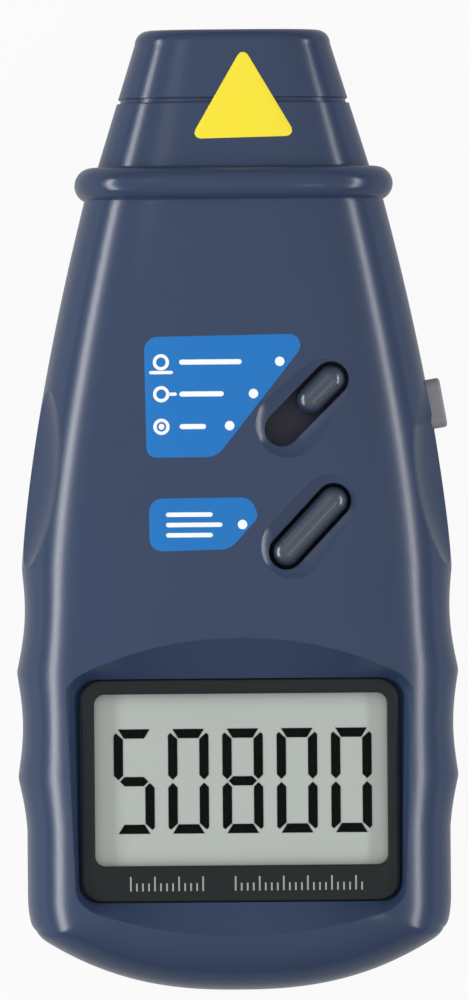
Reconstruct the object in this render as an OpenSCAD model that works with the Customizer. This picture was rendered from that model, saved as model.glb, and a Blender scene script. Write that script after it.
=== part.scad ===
// Handheld laser tachometer, lying on its back.
// X runs across the case, +Y towards the nose, +Z out of the display.
// The origin is under the middle of the case, on the flat back.

/* [Case] */
// Overall length, from the bottom end to the nose tip
case_l = 160; // [154:1:172]
// Width at the shoulder, just above the finger waves
case_w = 72; // [71:1:80]
// Depth from the flat back to the crown of the front
case_d = 37; // [36.5:0.5:42]
// Wall thickness of the mouldings
wall = 2.2; // [1.8:0.1:2.6]
// Height of the parting plane between the two halves
part_z = 18; // [17.5:0.5:19]
// Distance of the shoulder from the bottom end
shoulder_l = 67; // [62:1:70]
// Width at the neck, below the collar
neck_w = 50; // [46:1:54]
// Drop of the front from the middle of the case to the neck
neck_drop = 2.4; // [1:0.1:4]
// Radius of the bottom edge, seen from the front
bottom_r = 69; // [60:1:90]
// Length over which the bottom end rounds off
end_l = 36; // [32:1:40]

/* [Finger waves] */
// Pitch of the waves on both sides
wave_pitch = 17.5; // [15:0.5:18]
// Height of a wave crest
wave_h = 0.9; // [0.4:0.1:1.5]
// Distance of the upper crest from the bottom end
wave_l = 70.6; // [66:0.2:74]

/* [Collar and nose] */
// Length of the round collar bead
collar_l = 5.7; // [4:0.1:7]
// Rise of the collar above the line from neck to nose
collar_rise = 2.7; // [1.5:0.1:3]
// Length of the nose, from the collar to the tip
nose_l = 22.8; // [21:0.2:26]
// Width of the nose at the collar
nose_base_w = 45.4; // [42:0.2:48]
// Width of the nose at the tip
nose_tip_w = 31.2; // [30:0.2:36]
// Depth of the nose at the tip
nose_tip_d = 24; // [23:0.5:28]
// Length of the separate nose cap
cap_l = 11.4; // [10.5:0.1:12]
// Width of the groove between case and nose cap
groove_l = 0.8; // [0.5:0.1:1.2]
// Depth of that groove
groove_h = 0.5; // [0.3:0.1:0.8]
// Radius of the socket in the nose tip
socket_r = 8.5; // [8:0.1:9]
// Depth of the socket, down to the clear window
socket_l = 7; // [5:0.5:7.5]

/* [Display] */
// Distance of the display's middle from the bottom end
display_l = 34.8; // [33:0.2:38]
// Width of the visible display area
view_w = 49.1; // [44:0.1:50]
// Height of the visible display area
view_h = 28.6; // [26:0.1:30]
// Width of the bezel plate
bezel_w = 52.6; // [52:0.1:56]
// Height of the bezel plate
bezel_h = 36.9; // [34:0.1:38]
// Thickness of the bezel plate
bezel_t = 1.6; // [1.4:0.1:2.2]
// Depth of the display pocket below the crown
pocket_depth = 5; // [4:0.1:5.4]

/* [Controls] */
// Length of the two diagonal slots
slot_l = 17.4; // [15:0.1:19]
// Width of the two diagonal slots
slot_w = 5.8; // [5:0.1:6.4]
// Clearance round the knob and the bar button
slot_gap = 0.6; // [0.4:0.05:0.7]
// Depth of the oval dish round each slot
dish_depth = 1.5; // [1:0.1:2]
// Width of the oval dish
dish_w = 10.4; // [9:0.1:12]
// Length of the sliding knob
knob_l = 9.4; // [8:0.1:10]
// Travel of the bar button
memory_travel = 0.8; // [0.4:0.1:1]
// Length of the side button along the case
test_l = 8.3; // [6:0.1:9]
// Height of the side button
test_h = 7.4; // [6:0.1:8]
// How far the side button stands out
test_out = 2.3; // [1.6:0.1:3]
// Travel of the side button
test_travel = 1.2; // [0.6:0.1:1.5]
// Inset of the side scoop's upper edge
scoop_inset = 4.7; // [4:0.1:5.4]

/* [Power] */
// Diameter of a cell
cell_d = 14.5; // [13.5:0.1:14.5]
// Length of a cell, with its button
cell_l = 50.5; // [48:0.1:50.5]
// Length of a contact spring under load
spring_l = 4.7; // [4:0.1:5]
// Thickness of the battery door at its outer layer
door_t = 2.4; // [2.2:0.1:2.6]

/* [Board] */
// Thickness of the circuit board
board_t = 1.6; // [1:0.1:1.6]
// Inset of the board's edge from the outside of the case
board_inset = 8; // [7.5:0.1:9]

/* [Fits] */
// Clearance between a moving piece and its neighbour
gap = 0.3; // [0.3:0.05:0.4]
// Clearance between fixed pieces that are fitted together
fit = 0.15; // [0.1:0.05:0.2]

/* [Hidden] */
$fn = 48;
far = 200;

// Exponents of the section curves and of the rounded bottom end
front_n = 3;
back_n = 6;
end_front_n = 4;
end_back_n = 6;
// Pieces round the half section, outside and inside
ring_out = 24;
ring_in = 10;

// Places along the case
bottom_y = -case_l / 2;
tip_y = case_l / 2;
shoulder_y = bottom_y + shoulder_l;
wave_y = bottom_y + wave_l;
wave_end_y = wave_y - 2.5 * wave_pitch;
corner_y = bottom_y + 15.5;
end_y = bottom_y + end_l;
nose_y = tip_y - nose_l;
collar_y = nose_y - collar_l / 2;
neck_y = nose_y - collar_l;
cap_y = tip_y - cap_l;
case_top_y = cap_y - groove_l;

// Depths of the section on both sides of the parting plane
front_d = case_d - part_z;
neck_front = front_d - neck_drop;
tip_front = nose_tip_d / 2;
nose_front = tip_front + 3;
back_d = part_z + 0.5;
neck_back = part_z - 2;
nose_back = part_z - 4;
tip_back = nose_tip_d / 2;

// Widths that the side line passes
grip_loss = 0.75;
corner_loss = 0.7;
corner_run = 5;
corner_k = 1.6;
end_hw = 2.5;
end_share = 0.25;
shoulder_power = 1.5;

function mixed(a, b, f) = a + (b - a) * f;
function clamped(v) = min(1, max(0, v));
// Smooth minimum of two lengths, blended over k
function smooth_min(a, b, k) = let (h = max(k - abs(a - b), 0) / k) min(a, b) - h * h * k / 4;
// Power that keeps the sign
function signed_pow(v, p) = sign(v) * pow(abs(v), p);

// Circular bead of the collar, 0 outside it
function bead(y) = let (f = (y - collar_y) / (collar_l / 2)) abs(f) < 1 ? sqrt(1 - f * f) : 0;
// Line from neck to nose with the bead on it
function over_collar(a, b, y) =
    max(mixed(a, b, (y - neck_y) / collar_l),
        (a + b) / 2 + collar_rise - collar_l / 2 * (1 - bead(y)));

// Height that the wave crests stand on, counted in pitches below the upper crest
function wave_base(k) = lookup(k, [[0, -wave_h - 0.1], [1, -0.1], [2, -0.2], [2.5, -grip_loss]]);
function wave(k) = wave_h * (1 - abs(sin(180 * k)));
function body_hw(y) =
    y > wave_y ?
        case_w / 2 - (case_w - neck_w) / 2
            * pow(clamped((y - shoulder_y) / (neck_y - shoulder_y)), shoulder_power)
    : y > wave_end_y ?
        let (k = (wave_y - y) / wave_pitch) case_w / 2 + wave_base(k) + wave(k)
    : case_w / 2 - grip_loss - corner_loss * pow(max(0, corner_y - y) / corner_run, 2);
function bottom_arc(y) = sqrt(max(0, pow(bottom_r, 2) - pow(y - bottom_y - bottom_r, 2)));
// Half width of the case at a height y
function half_w(y) =
    y >= nose_y ? mixed(nose_base_w, nose_tip_w, (y - nose_y) / nose_l) / 2
    : y > neck_y ? over_collar(neck_w / 2, nose_base_w / 2, y)
    : max(end_hw, smooth_min(body_hw(y), bottom_arc(y), corner_k));

// Share of the depth that is left in the rounded bottom end
function end_share_at(y, n) =
    let (v = clamped((end_y - y) / end_l)) max(end_share, pow(1 - pow(v, n), 1 / n));
function front_h(y) =
    y >= nose_y ? mixed(nose_front, tip_front, (y - nose_y) / nose_l)
    : y > neck_y ? over_collar(neck_front, nose_front, y)
    : (front_d - neck_drop * pow(max(0, y) / neck_y, 2)) * end_share_at(y, end_front_n);
function back_h(y) =
    y >= nose_y ? mixed(nose_back, tip_back, (y - nose_y) / nose_l)
    : y > neck_y ? over_collar(neck_back, nose_back, y)
    : mixed(back_d, neck_back, pow(max(0, y) / neck_y, 2)) * end_share_at(y, end_back_n);
// Height of the front at a point of the plan, under an inset
function front_z(x, y, inset = 0) =
    part_z + (front_h(y) - inset)
        * pow(1 - pow(min(1, abs(x) / (half_w(y) - inset)), front_n), 1 / front_n);

// Half sections, from right to left over the front and from left to right under the back
function front_arc(y, inset, count, place) =
    [for (i = [0:count]) let (t = 180 * i / count)
        [(half_w(y) - inset) * signed_pow(cos(t), 2 / front_n), place,
            part_z + (front_h(y) - inset) * pow(abs(sin(t)), 2 / front_n)]];
function back_arc(y, inset, count, place) =
    [for (i = [0:count]) let (t = 180 + 180 * i / count)
        [(half_w(y) - inset) * signed_pow(cos(t), 2 / back_n), place,
            max(inset, part_z - (back_h(y) - inset) * pow(abs(sin(t)), 2 / back_n))]];

// Stations along the outside: bottom end, corner, waves, upper body, collar, nose
end_steps = [0, 0.003, 0.012, 0.03, 0.06, 0.1, 0.15, 0.2];
corner_steps = [7.4, 6.6, 5.6, 3.5, 0];
function stations() = concat(
    [for (f = end_steps) bottom_y + f * end_l],
    [for (d = corner_steps) corner_y - d],
    [for (i = [15:-1:0]) wave_y - i * wave_pitch / 6],
    [for (i = [1:11]) mixed(wave_y, neck_y, i / 11)],
    [for (i = [1:9]) collar_y - collar_l / 2 * cos(180 * i / 9)],
    [case_top_y]);
// Coarser stations for the inside
inner_end_steps = [0, 0.02, 0.08, 0.2, 0.28, 0.4, 0.7];
function inner_stations() = concat(
    [for (f = inner_end_steps) bottom_y + f * end_l],
    [for (i = [0:6]) mixed(end_y, neck_y, i / 6)],
    [nose_y, case_top_y + 1]);
// The inside of the bottom end lies one wall further up
function inner_place(y, inset) = y + inset * clamped(2 * (end_y - y) / end_l);

// Closed skin over a row of rings with equal counts
module loft(rings) {
    n = len(rings[0]);
    m = len(rings);
    polyhedron(
        points = [for (r = rings) each r],
        faces = concat(
            [[for (i = [n - 1:-1:0]) i]],
            [for (j = [0:m - 2], i = [0:n - 1]) let (k = (i + 1) % n)
                each [[j * n + i, j * n + k, (j + 1) * n + k],
                    [j * n + i, (j + 1) * n + k, (j + 1) * n + i]]],
            [[for (i = [0:n - 1]) (m - 1) * n + i]]));
}

module front_skin() {
    loft([for (y = stations()) front_arc(y, 0, ring_out, y)]);
}

module back_skin() {
    loft([for (y = stations()) back_arc(y, 0, ring_out, y)]);
}

// Room inside the front half, open past the parting plane
module front_room(inset = wall) {
    loft([for (y = inner_stations()) let (a = front_arc(y, inset, ring_in, inner_place(y, inset)))
        concat([a[0] - [0, 0, 1]], a, [a[ring_in] - [0, 0, 1]])]);
}

module back_room(inset = wall) {
    loft([for (y = inner_stations()) let (a = back_arc(y, inset, ring_in, inner_place(y, inset)))
        concat([a[0] + [0, 0, 1]], a, [a[ring_in] + [0, 0, 1]])]);
}

// Flat shapes
module rounded(w, h, r) {
    square([w - 2 * r, h], center = true);
    square([w, h - 2 * r], center = true);
    for (x = [-1, 1], y = [-1, 1])
        translate([x * (w / 2 - r), y * (h / 2 - r)]) circle(r);
}

module stadium(l, w) {
    square([l - w, w], center = true);
    for (x = [-1, 1])
        translate([x * (l - w) / 2, 0]) circle(w / 2);
}

// A cylinder along Y, from one height to another
module along_y(r, from, to) {
    translate([0, from, 0]) rotate([-90, 0, 0]) cylinder(r = r, h = to - from);
}

// Display stack, from the pocket floor down
display_y = bottom_y + display_l;
pocket_z = case_d - pocket_depth;
bezel_y = display_y - 1.35;
bezel_z = pocket_z + 0.2 - bezel_t;
bezel_r = 3.4;
view_r = 1.7;
lens_t = 1;
lens_lip = 0.9;
lens_w = view_w + 2 * lens_lip;
lens_h = view_h + 2 * lens_lip;
tray_t = 1.8;
tray_z = bezel_z - tray_t;
window_w = lens_w + 0.2;
window_h = lens_h + 0.2;
window_corner = 0.8;
ramp_top_y = display_y + 16.8;
ramp_top_run = 7.2;
ramp_low_y = display_y - 20.8;
ramp_low_run = 5.3;
ramp_low_rise = 3.4;
pocket_hw = bezel_w / 2 + 0.6;
pocket_flare = 1.7;

// Pocket with sloped ends and sloped sides
module pocket() {
    over = 4;
    top_slope = pocket_depth / ramp_top_run;
    low_slope = ramp_low_rise / ramp_low_run;
    rim_hw = pocket_hw + pocket_flare * (pocket_depth + over);
    intersection() {
        rotate([90, 0, 90]) translate([0, 0, -far / 2]) linear_extrude(far)
            polygon([[ramp_low_y, pocket_z], [ramp_top_y, pocket_z],
                [ramp_top_y + ramp_top_run + over, case_d + over * top_slope],
                [ramp_top_y + ramp_top_run + over, case_d + far],
                [bottom_y - far, case_d + far],
                [bottom_y - far, pocket_z + (ramp_low_y - bottom_y + far) * low_slope]]);
        rotate([90, 0, 0]) translate([0, 0, -far / 2]) linear_extrude(far)
            polygon([[-pocket_hw, pocket_z], [pocket_hw, pocket_z],
                [rim_hw, case_d + over], [-rim_hw, case_d + over]]);
    }
}

// Battery bay and door
plate_t = 0.4;
cell_pitch = cell_d + 0.3;
cell_x = [for (i = [0:3]) (i - 1.5) * cell_pitch];
bay_w = 4 * cell_pitch + 0.2;
bay_l = cell_l + spring_l + 2 * plate_t;
bay_low_y = bottom_y + 14;
bay_high_y = bay_low_y + bay_l;
bay_wall = 1.5;
door_flange = 1.3;
door_lip = 1.7;
door_step_z = door_t + gap;
door_top_z = door_step_z + door_flange - gap;
channel_z = door_t + door_flange + gap;
opening_w = bay_w - 2 * door_lip;
cell_z = channel_z + gap + cell_d / 2;
bay_top = cell_z + cell_d / 2 + gap;
opening_high_y = bay_high_y + 0.5;
tab_w = 3.6;

// Room for the door: the opening, and the wider channel above its lips
module door_room() {
    room_l = opening_high_y - bottom_y + far;
    translate([-opening_w / 2, bottom_y - far, -1]) cube([opening_w, room_l, channel_z + 1]);
    translate([-bay_w / 2, bottom_y - far, door_t]) cube([bay_w, room_l, channel_z - door_t]);
}

// Board and what stands on it
board_clear = 1.4;
board_z = bay_top + bay_wall + board_clear;
board_top = board_z + board_t;
board_low_y = bottom_y + 11.5;
board_high_y = tip_y - 27;
board_edge = 2.4;
// Half width of the board at a height y, and a screw's place beside that edge
function board_hw(y) = half_w(min(y, neck_y)) - board_inset;
function board_point(y) = [board_hw(y) - board_edge, y];
board_screw_high = board_point(neck_y - 23.5);
board_screw_low = board_point(board_low_y + board_edge);
board_screws_at = [board_screw_high, board_screw_low];
post_r = 3;
board_screw_r = 1;
board_head_r = 1.9;
board_head_t = 1.2;
board_screw_in = 4;
snug = 0.05;

// Diagonal slots and their dishes
mode_x = 11.5;
mode_y = 17.5;
mode_turn = 45;
memory_x = 11.9;
memory_y = -2.8;
memory_turn = 47;
mode_travel = slot_l - knob_l - 2 * slot_gap;
knob_w = slot_w - 2 * slot_gap;
knob_off = mode_travel / 2;
dish_r = (pow(dish_w / 2, 2) + pow(dish_depth, 2)) / (2 * dish_depth);
dish_run = 10;
trough_floor = 1.6;
deck_z = case_d - 5.4;
deck_low = [-1.5, -14];
deck_size = [26, 44, far];
trough_z = deck_z + trough_floor;
stem_w = 1.3;
stem_l = 4;
knob_rise = 0.5;
crown_r = 3;

module at_mode() { translate([mode_x, mode_y, 0]) rotate(mode_turn) children(); }
module at_memory() { translate([memory_x, memory_y, 0]) rotate(memory_turn) children(); }

// Bar with a half-round crown and round ends
module crowned_bar(l, w, low, top) {
    run = (l - w) / 2;
    intersection() {
        translate([0, 0, low]) linear_extrude(far) stadium(l, w);
        translate([0, 0, top - crown_r]) {
            translate([-run, 0, 0]) rotate([0, 90, 0]) cylinder(r = crown_r, h = 2 * run);
            for (s = [-1, 1]) translate([s * run, 0, 0]) sphere(crown_r);
            translate([0, 0, -far / 2]) linear_extrude(far / 2) stadium(l, w);
        }
    }
}

// Dish of constant depth along a short run, with round ends
module dish(x, y) {
    translate([0, 0, front_z(x, y) - dish_depth + dish_r]) {
        translate([-dish_run / 2, 0, 0]) rotate([0, 90, 0]) cylinder(r = dish_r, h = dish_run);
        for (s = [-1, 1]) translate([s * dish_run / 2, 0, 0]) sphere(dish_r);
    }
}

// Side button: a frame on the right wall with +X outwards, held between the two halves
test_y = 17.35;
test_flange = 1.2;
test_under = 0.5;
test_z = board_z - test_under - test_flange - test_h / 2;
test_tilt = atan((half_w(test_y - 1) - half_w(test_y + 1)) / 2);
test_pad = 5;
test_pad_l = 16;
test_pad_h = 15;
test_r = 1.6;
test_flange_t = 1.2;
test_back = test_pad + gap + test_flange_t;
test_stem_l = 1.8;
test_stem_r = 2.2;
test_face = test_back + test_stem_l + test_travel + gap;
test_base = 5.4;
plunger_r = 1.7;
plunger_gap = 0.3;
plunger_in = 2.8;

module at_test() {
    translate([half_w(test_y), test_y, test_z]) rotate(test_tilt) children();
}
// A rounded bar along the button's push line
module test_bar(l, h, from, to) {
    translate([from, 0, 0]) rotate([90, 0, 90]) linear_extrude(to - from) rounded(l, h, test_r);
}

// Block that thickens the wall round the button, and the button's way through it
module test_block() {
    at_test() translate([-test_pad, -test_pad_l / 2, -test_pad_h / 2])
        cube([far, test_pad_l, test_pad_h]);
}
module test_room() {
    at_test() {
        test_bar(test_l + 2 * gap, test_h + 2 * gap, -test_pad - 1, far / 4);
        test_bar(test_l + 2 * (test_flange + gap), test_h + 2 * (test_flange + gap),
            -test_back - test_travel - gap, -test_pad);
    }
}

// Side scoop: a round groove bent round an upright axis beside the case
scoop_y = 5.4;
scoop_top = case_d - 5.8;
scoop_low = part_z + 0.6;
scoop_hollow = 1.4;
scoop_bend = 40;
scoop_chord = norm([scoop_inset, scoop_top - scoop_low]);
scoop_r = (pow(scoop_chord / 2, 2) + pow(scoop_hollow, 2)) / (2 * scoop_hollow);
scoop_x = -scoop_inset / 2 + (scoop_r - scoop_hollow) * (scoop_top - scoop_low) / scoop_chord;
scoop_z = (scoop_top + scoop_low) / 2 + (scoop_r - scoop_hollow) * scoop_inset / scoop_chord;
scoop_tilt = atan((half_w(scoop_y - 1) - half_w(scoop_y + 1)) / 2);

module scoop(grow = 0) {
    ring_r = scoop_bend - scoop_r;
    translate([half_w(scoop_y), scoop_y, scoop_z]) rotate(scoop_tilt)
        translate([scoop_x + ring_r, 0, 0])
            rotate_extrude($fn = 64) translate([ring_r, 0]) intersection() {
                circle(scoop_r + grow);
                translate([-ring_r, -far / 2]) square([far, far]);
            }
}

module both_scoops(grow = 0) {
    scoop(grow);
    mirror([1, 0, 0]) scoop(grow);
}

// Screws that close the case: two near the neck, two under the battery door
case_screw_inset = 11.3;
case_screw_high_y = neck_y - 13.5;
case_screw_high = [half_w(case_screw_high_y) - case_screw_inset, case_screw_high_y];
case_screw_low = [18, bottom_y + 7];
case_screws_at = [case_screw_high, case_screw_low];
column_r = 3.8;
screw_r = 1.3;
screw_head_r = 2.5;
screw_head_t = 2;
screw_seat_z = 7.5;
screw_reach = 9;

// Optics on the nose's axis
axis_z = part_z;
window_t = 2;
window_r = socket_r + 1.1;
optics_front_y = tip_y - socket_l - window_t;
optics_l = 15;
optics_r = 10.5;
optics_back_y = optics_front_y - optics_l;
laser_x = -5;
laser_r = 3.25;
laser_l = 13;
lens_x = 3.8;
lens_r = 4.6;
sensor_r = 2.7;
rib_t = 2;
rib_places = [optics_back_y + 1.5, optics_back_y + 5];
spigot_l = 3;
spigot_t = 1.9;
spigot_in = wall + fit + 0.25;
lead_r = 0.35;

// Upright wall across the nose that carries the optics
module optic_ribs(front) {
    merge = wall - 0.5;
    for (y = rib_places)
        difference() {
            translate([0, y + rib_t, 0]) rotate([90, 0, 0]) linear_extrude(rib_t)
                polygon([for (p = front ? front_arc(y + rib_t, merge, ring_out, y)
                    : back_arc(y + rib_t, merge, ring_out, y)) [p[0], p[2]]]);
            translate([0, 0, axis_z]) along_y(optics_r + fit, y - 1, y + rib_t + 1);
        }
}

// Fixed pieces of the case
module front_case() {
    color("#3e4a62") difference() {
        union() {
            difference() {
                front_skin();
                difference() {
                    front_room();
                    translate([-far / 2, bottom_y, tray_z])
                        cube([far, ramp_top_y + ramp_top_run + 1 - bottom_y, far]);
                    translate([deck_low[0], deck_low[1], deck_z]) cube(deck_size);
                    test_block();
                    both_scoops(wall);
                }
            }
            intersection() {
                front_room(wall / 2);
                for (s = [-1, 1]) {
                    for (p = case_screws_at)
                        translate([s * p[0], p[1], part_z]) cylinder(r = column_r, h = front_d);
                    for (p = board_screws_at)
                        translate([s * p[0], p[1], board_top]) cylinder(r = post_r, h = front_d);
                }
            }
            optic_ribs(true);
        }
        pocket();
        translate([0, bezel_y, bezel_z]) linear_extrude(far)
            rounded(bezel_w + 2 * fit, bezel_h + 2 * fit, bezel_r);
        translate([0, display_y, 0]) linear_extrude(far) rounded(window_w, window_h, window_corner);
        at_mode() {
            dish(mode_x, mode_y);
            translate([0, 0, trough_z]) linear_extrude(far) stadium(slot_l, slot_w);
            linear_extrude(far) stadium(mode_travel + stem_l + 2 * slot_gap, stem_w + 2 * gap);
        }
        at_memory() {
            dish(memory_x, memory_y);
            linear_extrude(far) stadium(slot_l, slot_w);
        }
        both_scoops();
        test_room();
        for (s = [-1, 1]) {
            for (p = case_screws_at)
                translate([s * p[0], p[1], part_z - 1])
                    cylinder(r = screw_r + snug, h = screw_reach + 1.5);
            for (p = board_screws_at)
                translate([s * p[0], p[1], board_top - 1])
                    cylinder(r = board_screw_r + snug, h = board_screw_in + 1.5);
        }
    }
}

module back_case() {
    color("#3b475f") difference() {
        union() {
            difference() {
                back_skin();
                difference() {
                    back_room();
                    test_block();
                }
            }
            difference() {
                translate([-bay_w / 2 - bay_wall, bay_low_y - bay_wall, wall])
                    cube([bay_w + 2 * bay_wall, bay_l + 2 * bay_wall, bay_top + bay_wall - wall]);
                translate([-bay_w / 2, bay_low_y, 0]) cube([bay_w, bay_l, bay_top]);
            }
            intersection() {
                back_room(wall / 2);
                translate([-far / 2, bottom_y, channel_z])
                    cube([far, bay_low_y - bottom_y, bay_wall]);
            }
            intersection() {
                back_room(wall / 2);
                for (s = [-1, 1], p = case_screws_at)
                    translate([s * p[0], p[1], 0]) cylinder(r = column_r, h = part_z);
            }
            optic_ribs(false);
        }
        door_room();
        test_room();
        for (s = [-1, 1]) {
            translate([s * cell_x[3] - tab_w / 2 - fit, bay_high_y - plate_t - gap, bay_top - 1])
                cube([tab_w + 2 * fit, plate_t + gap, far]);
            for (p = case_screws_at)
                translate([s * p[0], p[1], -1]) {
                    cylinder(r = screw_r + 0.15, h = far);
                    cylinder(r = screw_head_r + fit, h = screw_seat_z + 1);
                }
        }
    }
}

// Outer plate with the form of the case's back, and a wider inner layer behind the lips
module battery_door() {
    grip_n = 6;
    grip_pitch = 2.6;
    grip_w = 22;
    top_y = opening_high_y - gap;
    color("#3b475f") difference() {
        intersection() {
            back_skin();
            union() {
                translate([-opening_w / 2 + gap, bottom_y - 1, -1])
                    cube([opening_w - 2 * gap, top_y - bottom_y + 1, door_top_z + 1]);
                translate([-bay_w / 2 + gap, bottom_y - 1, door_step_z])
                    cube([bay_w - 2 * gap, top_y - bottom_y + 1, door_top_z - door_step_z]);
            }
        }
        for (i = [0:grip_n - 1])
            translate([-grip_w / 2, top_y - 8 - i * grip_pitch, -0.2]) rotate([0, 90, 0])
                cylinder(r = 0.8, h = grip_w);
    }
}

module nose_cap() {
    round_r = 1.3;
    cap_rings = [for (a = [0, 30, 60, 90]) [tip_y - round_r * (1 - sin(a)), round_r * (1 - cos(a))]];
    color("#3e4a62") difference() {
        union() {
            loft([for (p = concat([[cap_y, 0]], cap_rings)) cap_ring(p[0], p[1])]);
            loft([for (y = [case_top_y, cap_y]) cap_ring(y, groove_h)]);
            difference() {
                loft([for (y = [case_top_y - spigot_l, case_top_y]) cap_ring(y, spigot_in)]);
                loft([for (y = [case_top_y - spigot_l - 1, case_top_y + 0.5])
                    cap_ring(y, spigot_in + spigot_t)]);
            }
        }
        translate([0, 0, axis_z]) {
            along_y(optics_r + fit, case_top_y - spigot_l - 1, optics_front_y);
            along_y(window_r + fit, optics_front_y - 1, optics_front_y + window_t);
            along_y(socket_r, optics_front_y, tip_y + 1);
        }
    }
}

// Whole section of the nose
function cap_ring(y, inset) =
    let (f = front_arc(y, inset, ring_out, y), b = back_arc(y, inset, ring_out, y))
        concat([for (i = [0:ring_out]) f[i]], [for (i = [1:ring_out - 1]) b[i]]);

module nose_window() {
    color("#b8c4c8") translate([0, 0, axis_z])
        along_y(window_r, optics_front_y, optics_front_y + window_t);
}

// Display
module display_bezel() {
    color("#303232") difference() {
        translate([0, bezel_y, bezel_z]) linear_extrude(bezel_t) rounded(bezel_w, bezel_h, bezel_r);
        translate([0, display_y, 0]) linear_extrude(far) rounded(view_w, view_h, view_r);
        translate([0, display_y, bezel_z - 1]) linear_extrude(lens_t + 1)
            rounded(lens_w + 2 * fit, lens_h + 2 * fit, view_r);
    }
}

module display_lens() {
    color("#c4ccc8") translate([0, display_y, bezel_z]) linear_extrude(lens_t)
        rounded(lens_w, lens_h, view_r);
}

lcd_t = 2.8;
lcd_w = window_w - 0.6;
lcd_h = window_h - 0.4;
lcd_z = bezel_z - fit - lcd_t;
holder_top = tray_z - fit;
holder_rim = 2.6;
ledge = 2.4;
strip_w = 2.4;

module lcd_panel() {
    color("#b0b8b2") translate([0, display_y, lcd_z]) linear_extrude(lcd_t)
        square([lcd_w, lcd_h], center = true);
}

module lcd_holder() {
    color("#26282a") translate([0, display_y, board_top]) difference() {
        linear_extrude(holder_top - board_top)
            rounded(lcd_w + 2 * holder_rim, lcd_h + 2 * holder_rim, 2);
        translate([0, 0, lcd_z - board_top]) linear_extrude(far)
            square([lcd_w + 2 * fit, lcd_h + 2 * fit], center = true);
        translate([0, 0, -1]) linear_extrude(far)
            square([lcd_w - 2 * ledge, lcd_h - 2 * ledge], center = true);
    }
}

module zebra_strips() {
    color("#4a4a4e") for (s = [-1, 1])
        translate([0, display_y + s * (lcd_h / 2 - ledge - strip_w / 2 - fit), board_top])
            linear_extrude(lcd_z - board_top)
                square([lcd_w - 2 * ledge - 2, strip_w], center = true);
}

// Board, shaped to the case, with holes for its screws and for the upper columns
module main_board() {
    count = 8;
    ys = [for (i = [0:count]) mixed(board_low_y, board_high_y, i / count)];
    right = [for (y = ys) [board_hw(y), y]];
    left = [for (i = [count:-1:0]) [-right[i][0], right[i][1]]];
    color("#2f6b3c") translate([0, 0, board_z]) linear_extrude(board_t) difference() {
        polygon(concat(right, left));
        for (s = [-1, 1]) {
            translate([s * case_screw_high[0], case_screw_high[1]]) circle(column_r + gap);
            for (p = board_screws_at)
                translate([s * p[0], p[1]]) circle(board_screw_r + snug);
        }
    }
}

module controller_chip() {
    chip = 12;
    chip_x = -19;
    chip_y = -8;
    chip_t = 1.6;
    color("#1c1c1e") translate([chip_x, chip_y, board_top]) cube([chip, chip, chip_t]);
}

module quartz_crystal() {
    can_x = -13;
    can_y = 12;
    can_t = 3.5;
    can_l = 10.4;
    can_w = 4.4;
    color("#b9bcc0") translate([can_x, can_y, board_top]) linear_extrude(can_t) stadium(can_l, can_w);
}

// Mode switch: knob in its trough, contact block under the deck, housing on the board
slider_l = 7;
slider_w = 4.4;
switch_room = deck_z - board_top;
slider_top = deck_z - gap;
housing_top = board_top + 0.55 * switch_room;
slider_low = housing_top + gap + 0.1;
shutter_t = 0.8;
shutter_low = mode_travel + stem_l / 2 + slot_gap + 0.4;
shutter_high = shutter_low - 2.8;
contact_l = 2.4;
contact_z = board_top + 0.16 * switch_room;

module mode_knob() {
    color("#465270") at_mode() translate([knob_off, 0, 0]) {
        crowned_bar(knob_l, knob_w, trough_z + gap, front_z(mode_x, mode_y) + knob_rise);
        translate([0, 0, slider_top]) linear_extrude(trough_z + gap - slider_top)
            stadium(stem_l, stem_w);
    }
}

// Contact block with a long thin top that closes the stem's slot from below
module mode_slider() {
    color("#d8d4c8") at_mode() translate([knob_off, 0, 0]) {
        translate([0, 0, slider_low]) linear_extrude(slider_top - slider_low)
            rounded(slider_l, slider_w, 1);
        translate([(shutter_high - shutter_low) / 2, 0, slider_top - shutter_t])
            linear_extrude(shutter_t) rounded(shutter_low + shutter_high, slider_w, 1);
        translate([0, 0, contact_z]) linear_extrude(slider_low - contact_z)
            square([contact_l, stem_w], center = true);
    }
}

module mode_switch() {
    housing_l = 18;
    housing_w = 6;
    color("#2a2c30") at_mode() difference() {
        translate([0, 0, board_top]) linear_extrude(housing_top - board_top)
            rounded(housing_l, housing_w, 0.6);
        translate([0, 0, contact_z - gap]) linear_extrude(far)
            square([mode_travel + contact_l + 2 * gap, stem_w + 2 * gap], center = true);
    }
}

// Memory bar button with its flange and stem, on a push switch
memory_flange = 1;
memory_flange_t = 1;
memory_stem_r = 2.5;
memory_base_t = 0.45 * switch_room;
memory_base_top = board_top + memory_base_t;
memory_stem_z = memory_base_top + memory_travel + gap + 0.1;
memory_rise = 0.5;

module memory_button() {
    bar_l = slot_l - 2 * slot_gap;
    bar_w = slot_w - 2 * slot_gap;
    flange_top = deck_z - gap;
    color("#465270") at_memory() {
        crowned_bar(bar_l, bar_w, flange_top, front_z(memory_x, memory_y) + memory_rise);
        translate([0, 0, flange_top - memory_flange_t]) linear_extrude(memory_flange_t)
            stadium(slot_l + 2 * memory_flange, slot_w + 2 * memory_flange);
        translate([0, 0, memory_stem_z])
            cylinder(r = memory_stem_r, h = flange_top - memory_flange_t - memory_stem_z);
    }
}

memory_plunger_z = memory_stem_z - plunger_in;

module memory_plunger() {
    color("#d8d4c8") at_memory() translate([0, 0, memory_plunger_z])
        cylinder(r = plunger_r, h = plunger_in);
}

module memory_switch() {
    base = 6.6;
    color("#2a2c30") at_memory() difference() {
        translate([0, 0, board_top]) linear_extrude(memory_base_t) square(base, center = true);
        translate([0, 0, memory_plunger_z - memory_travel - gap])
            cylinder(r = plunger_r + plunger_gap, h = far);
    }
}

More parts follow.
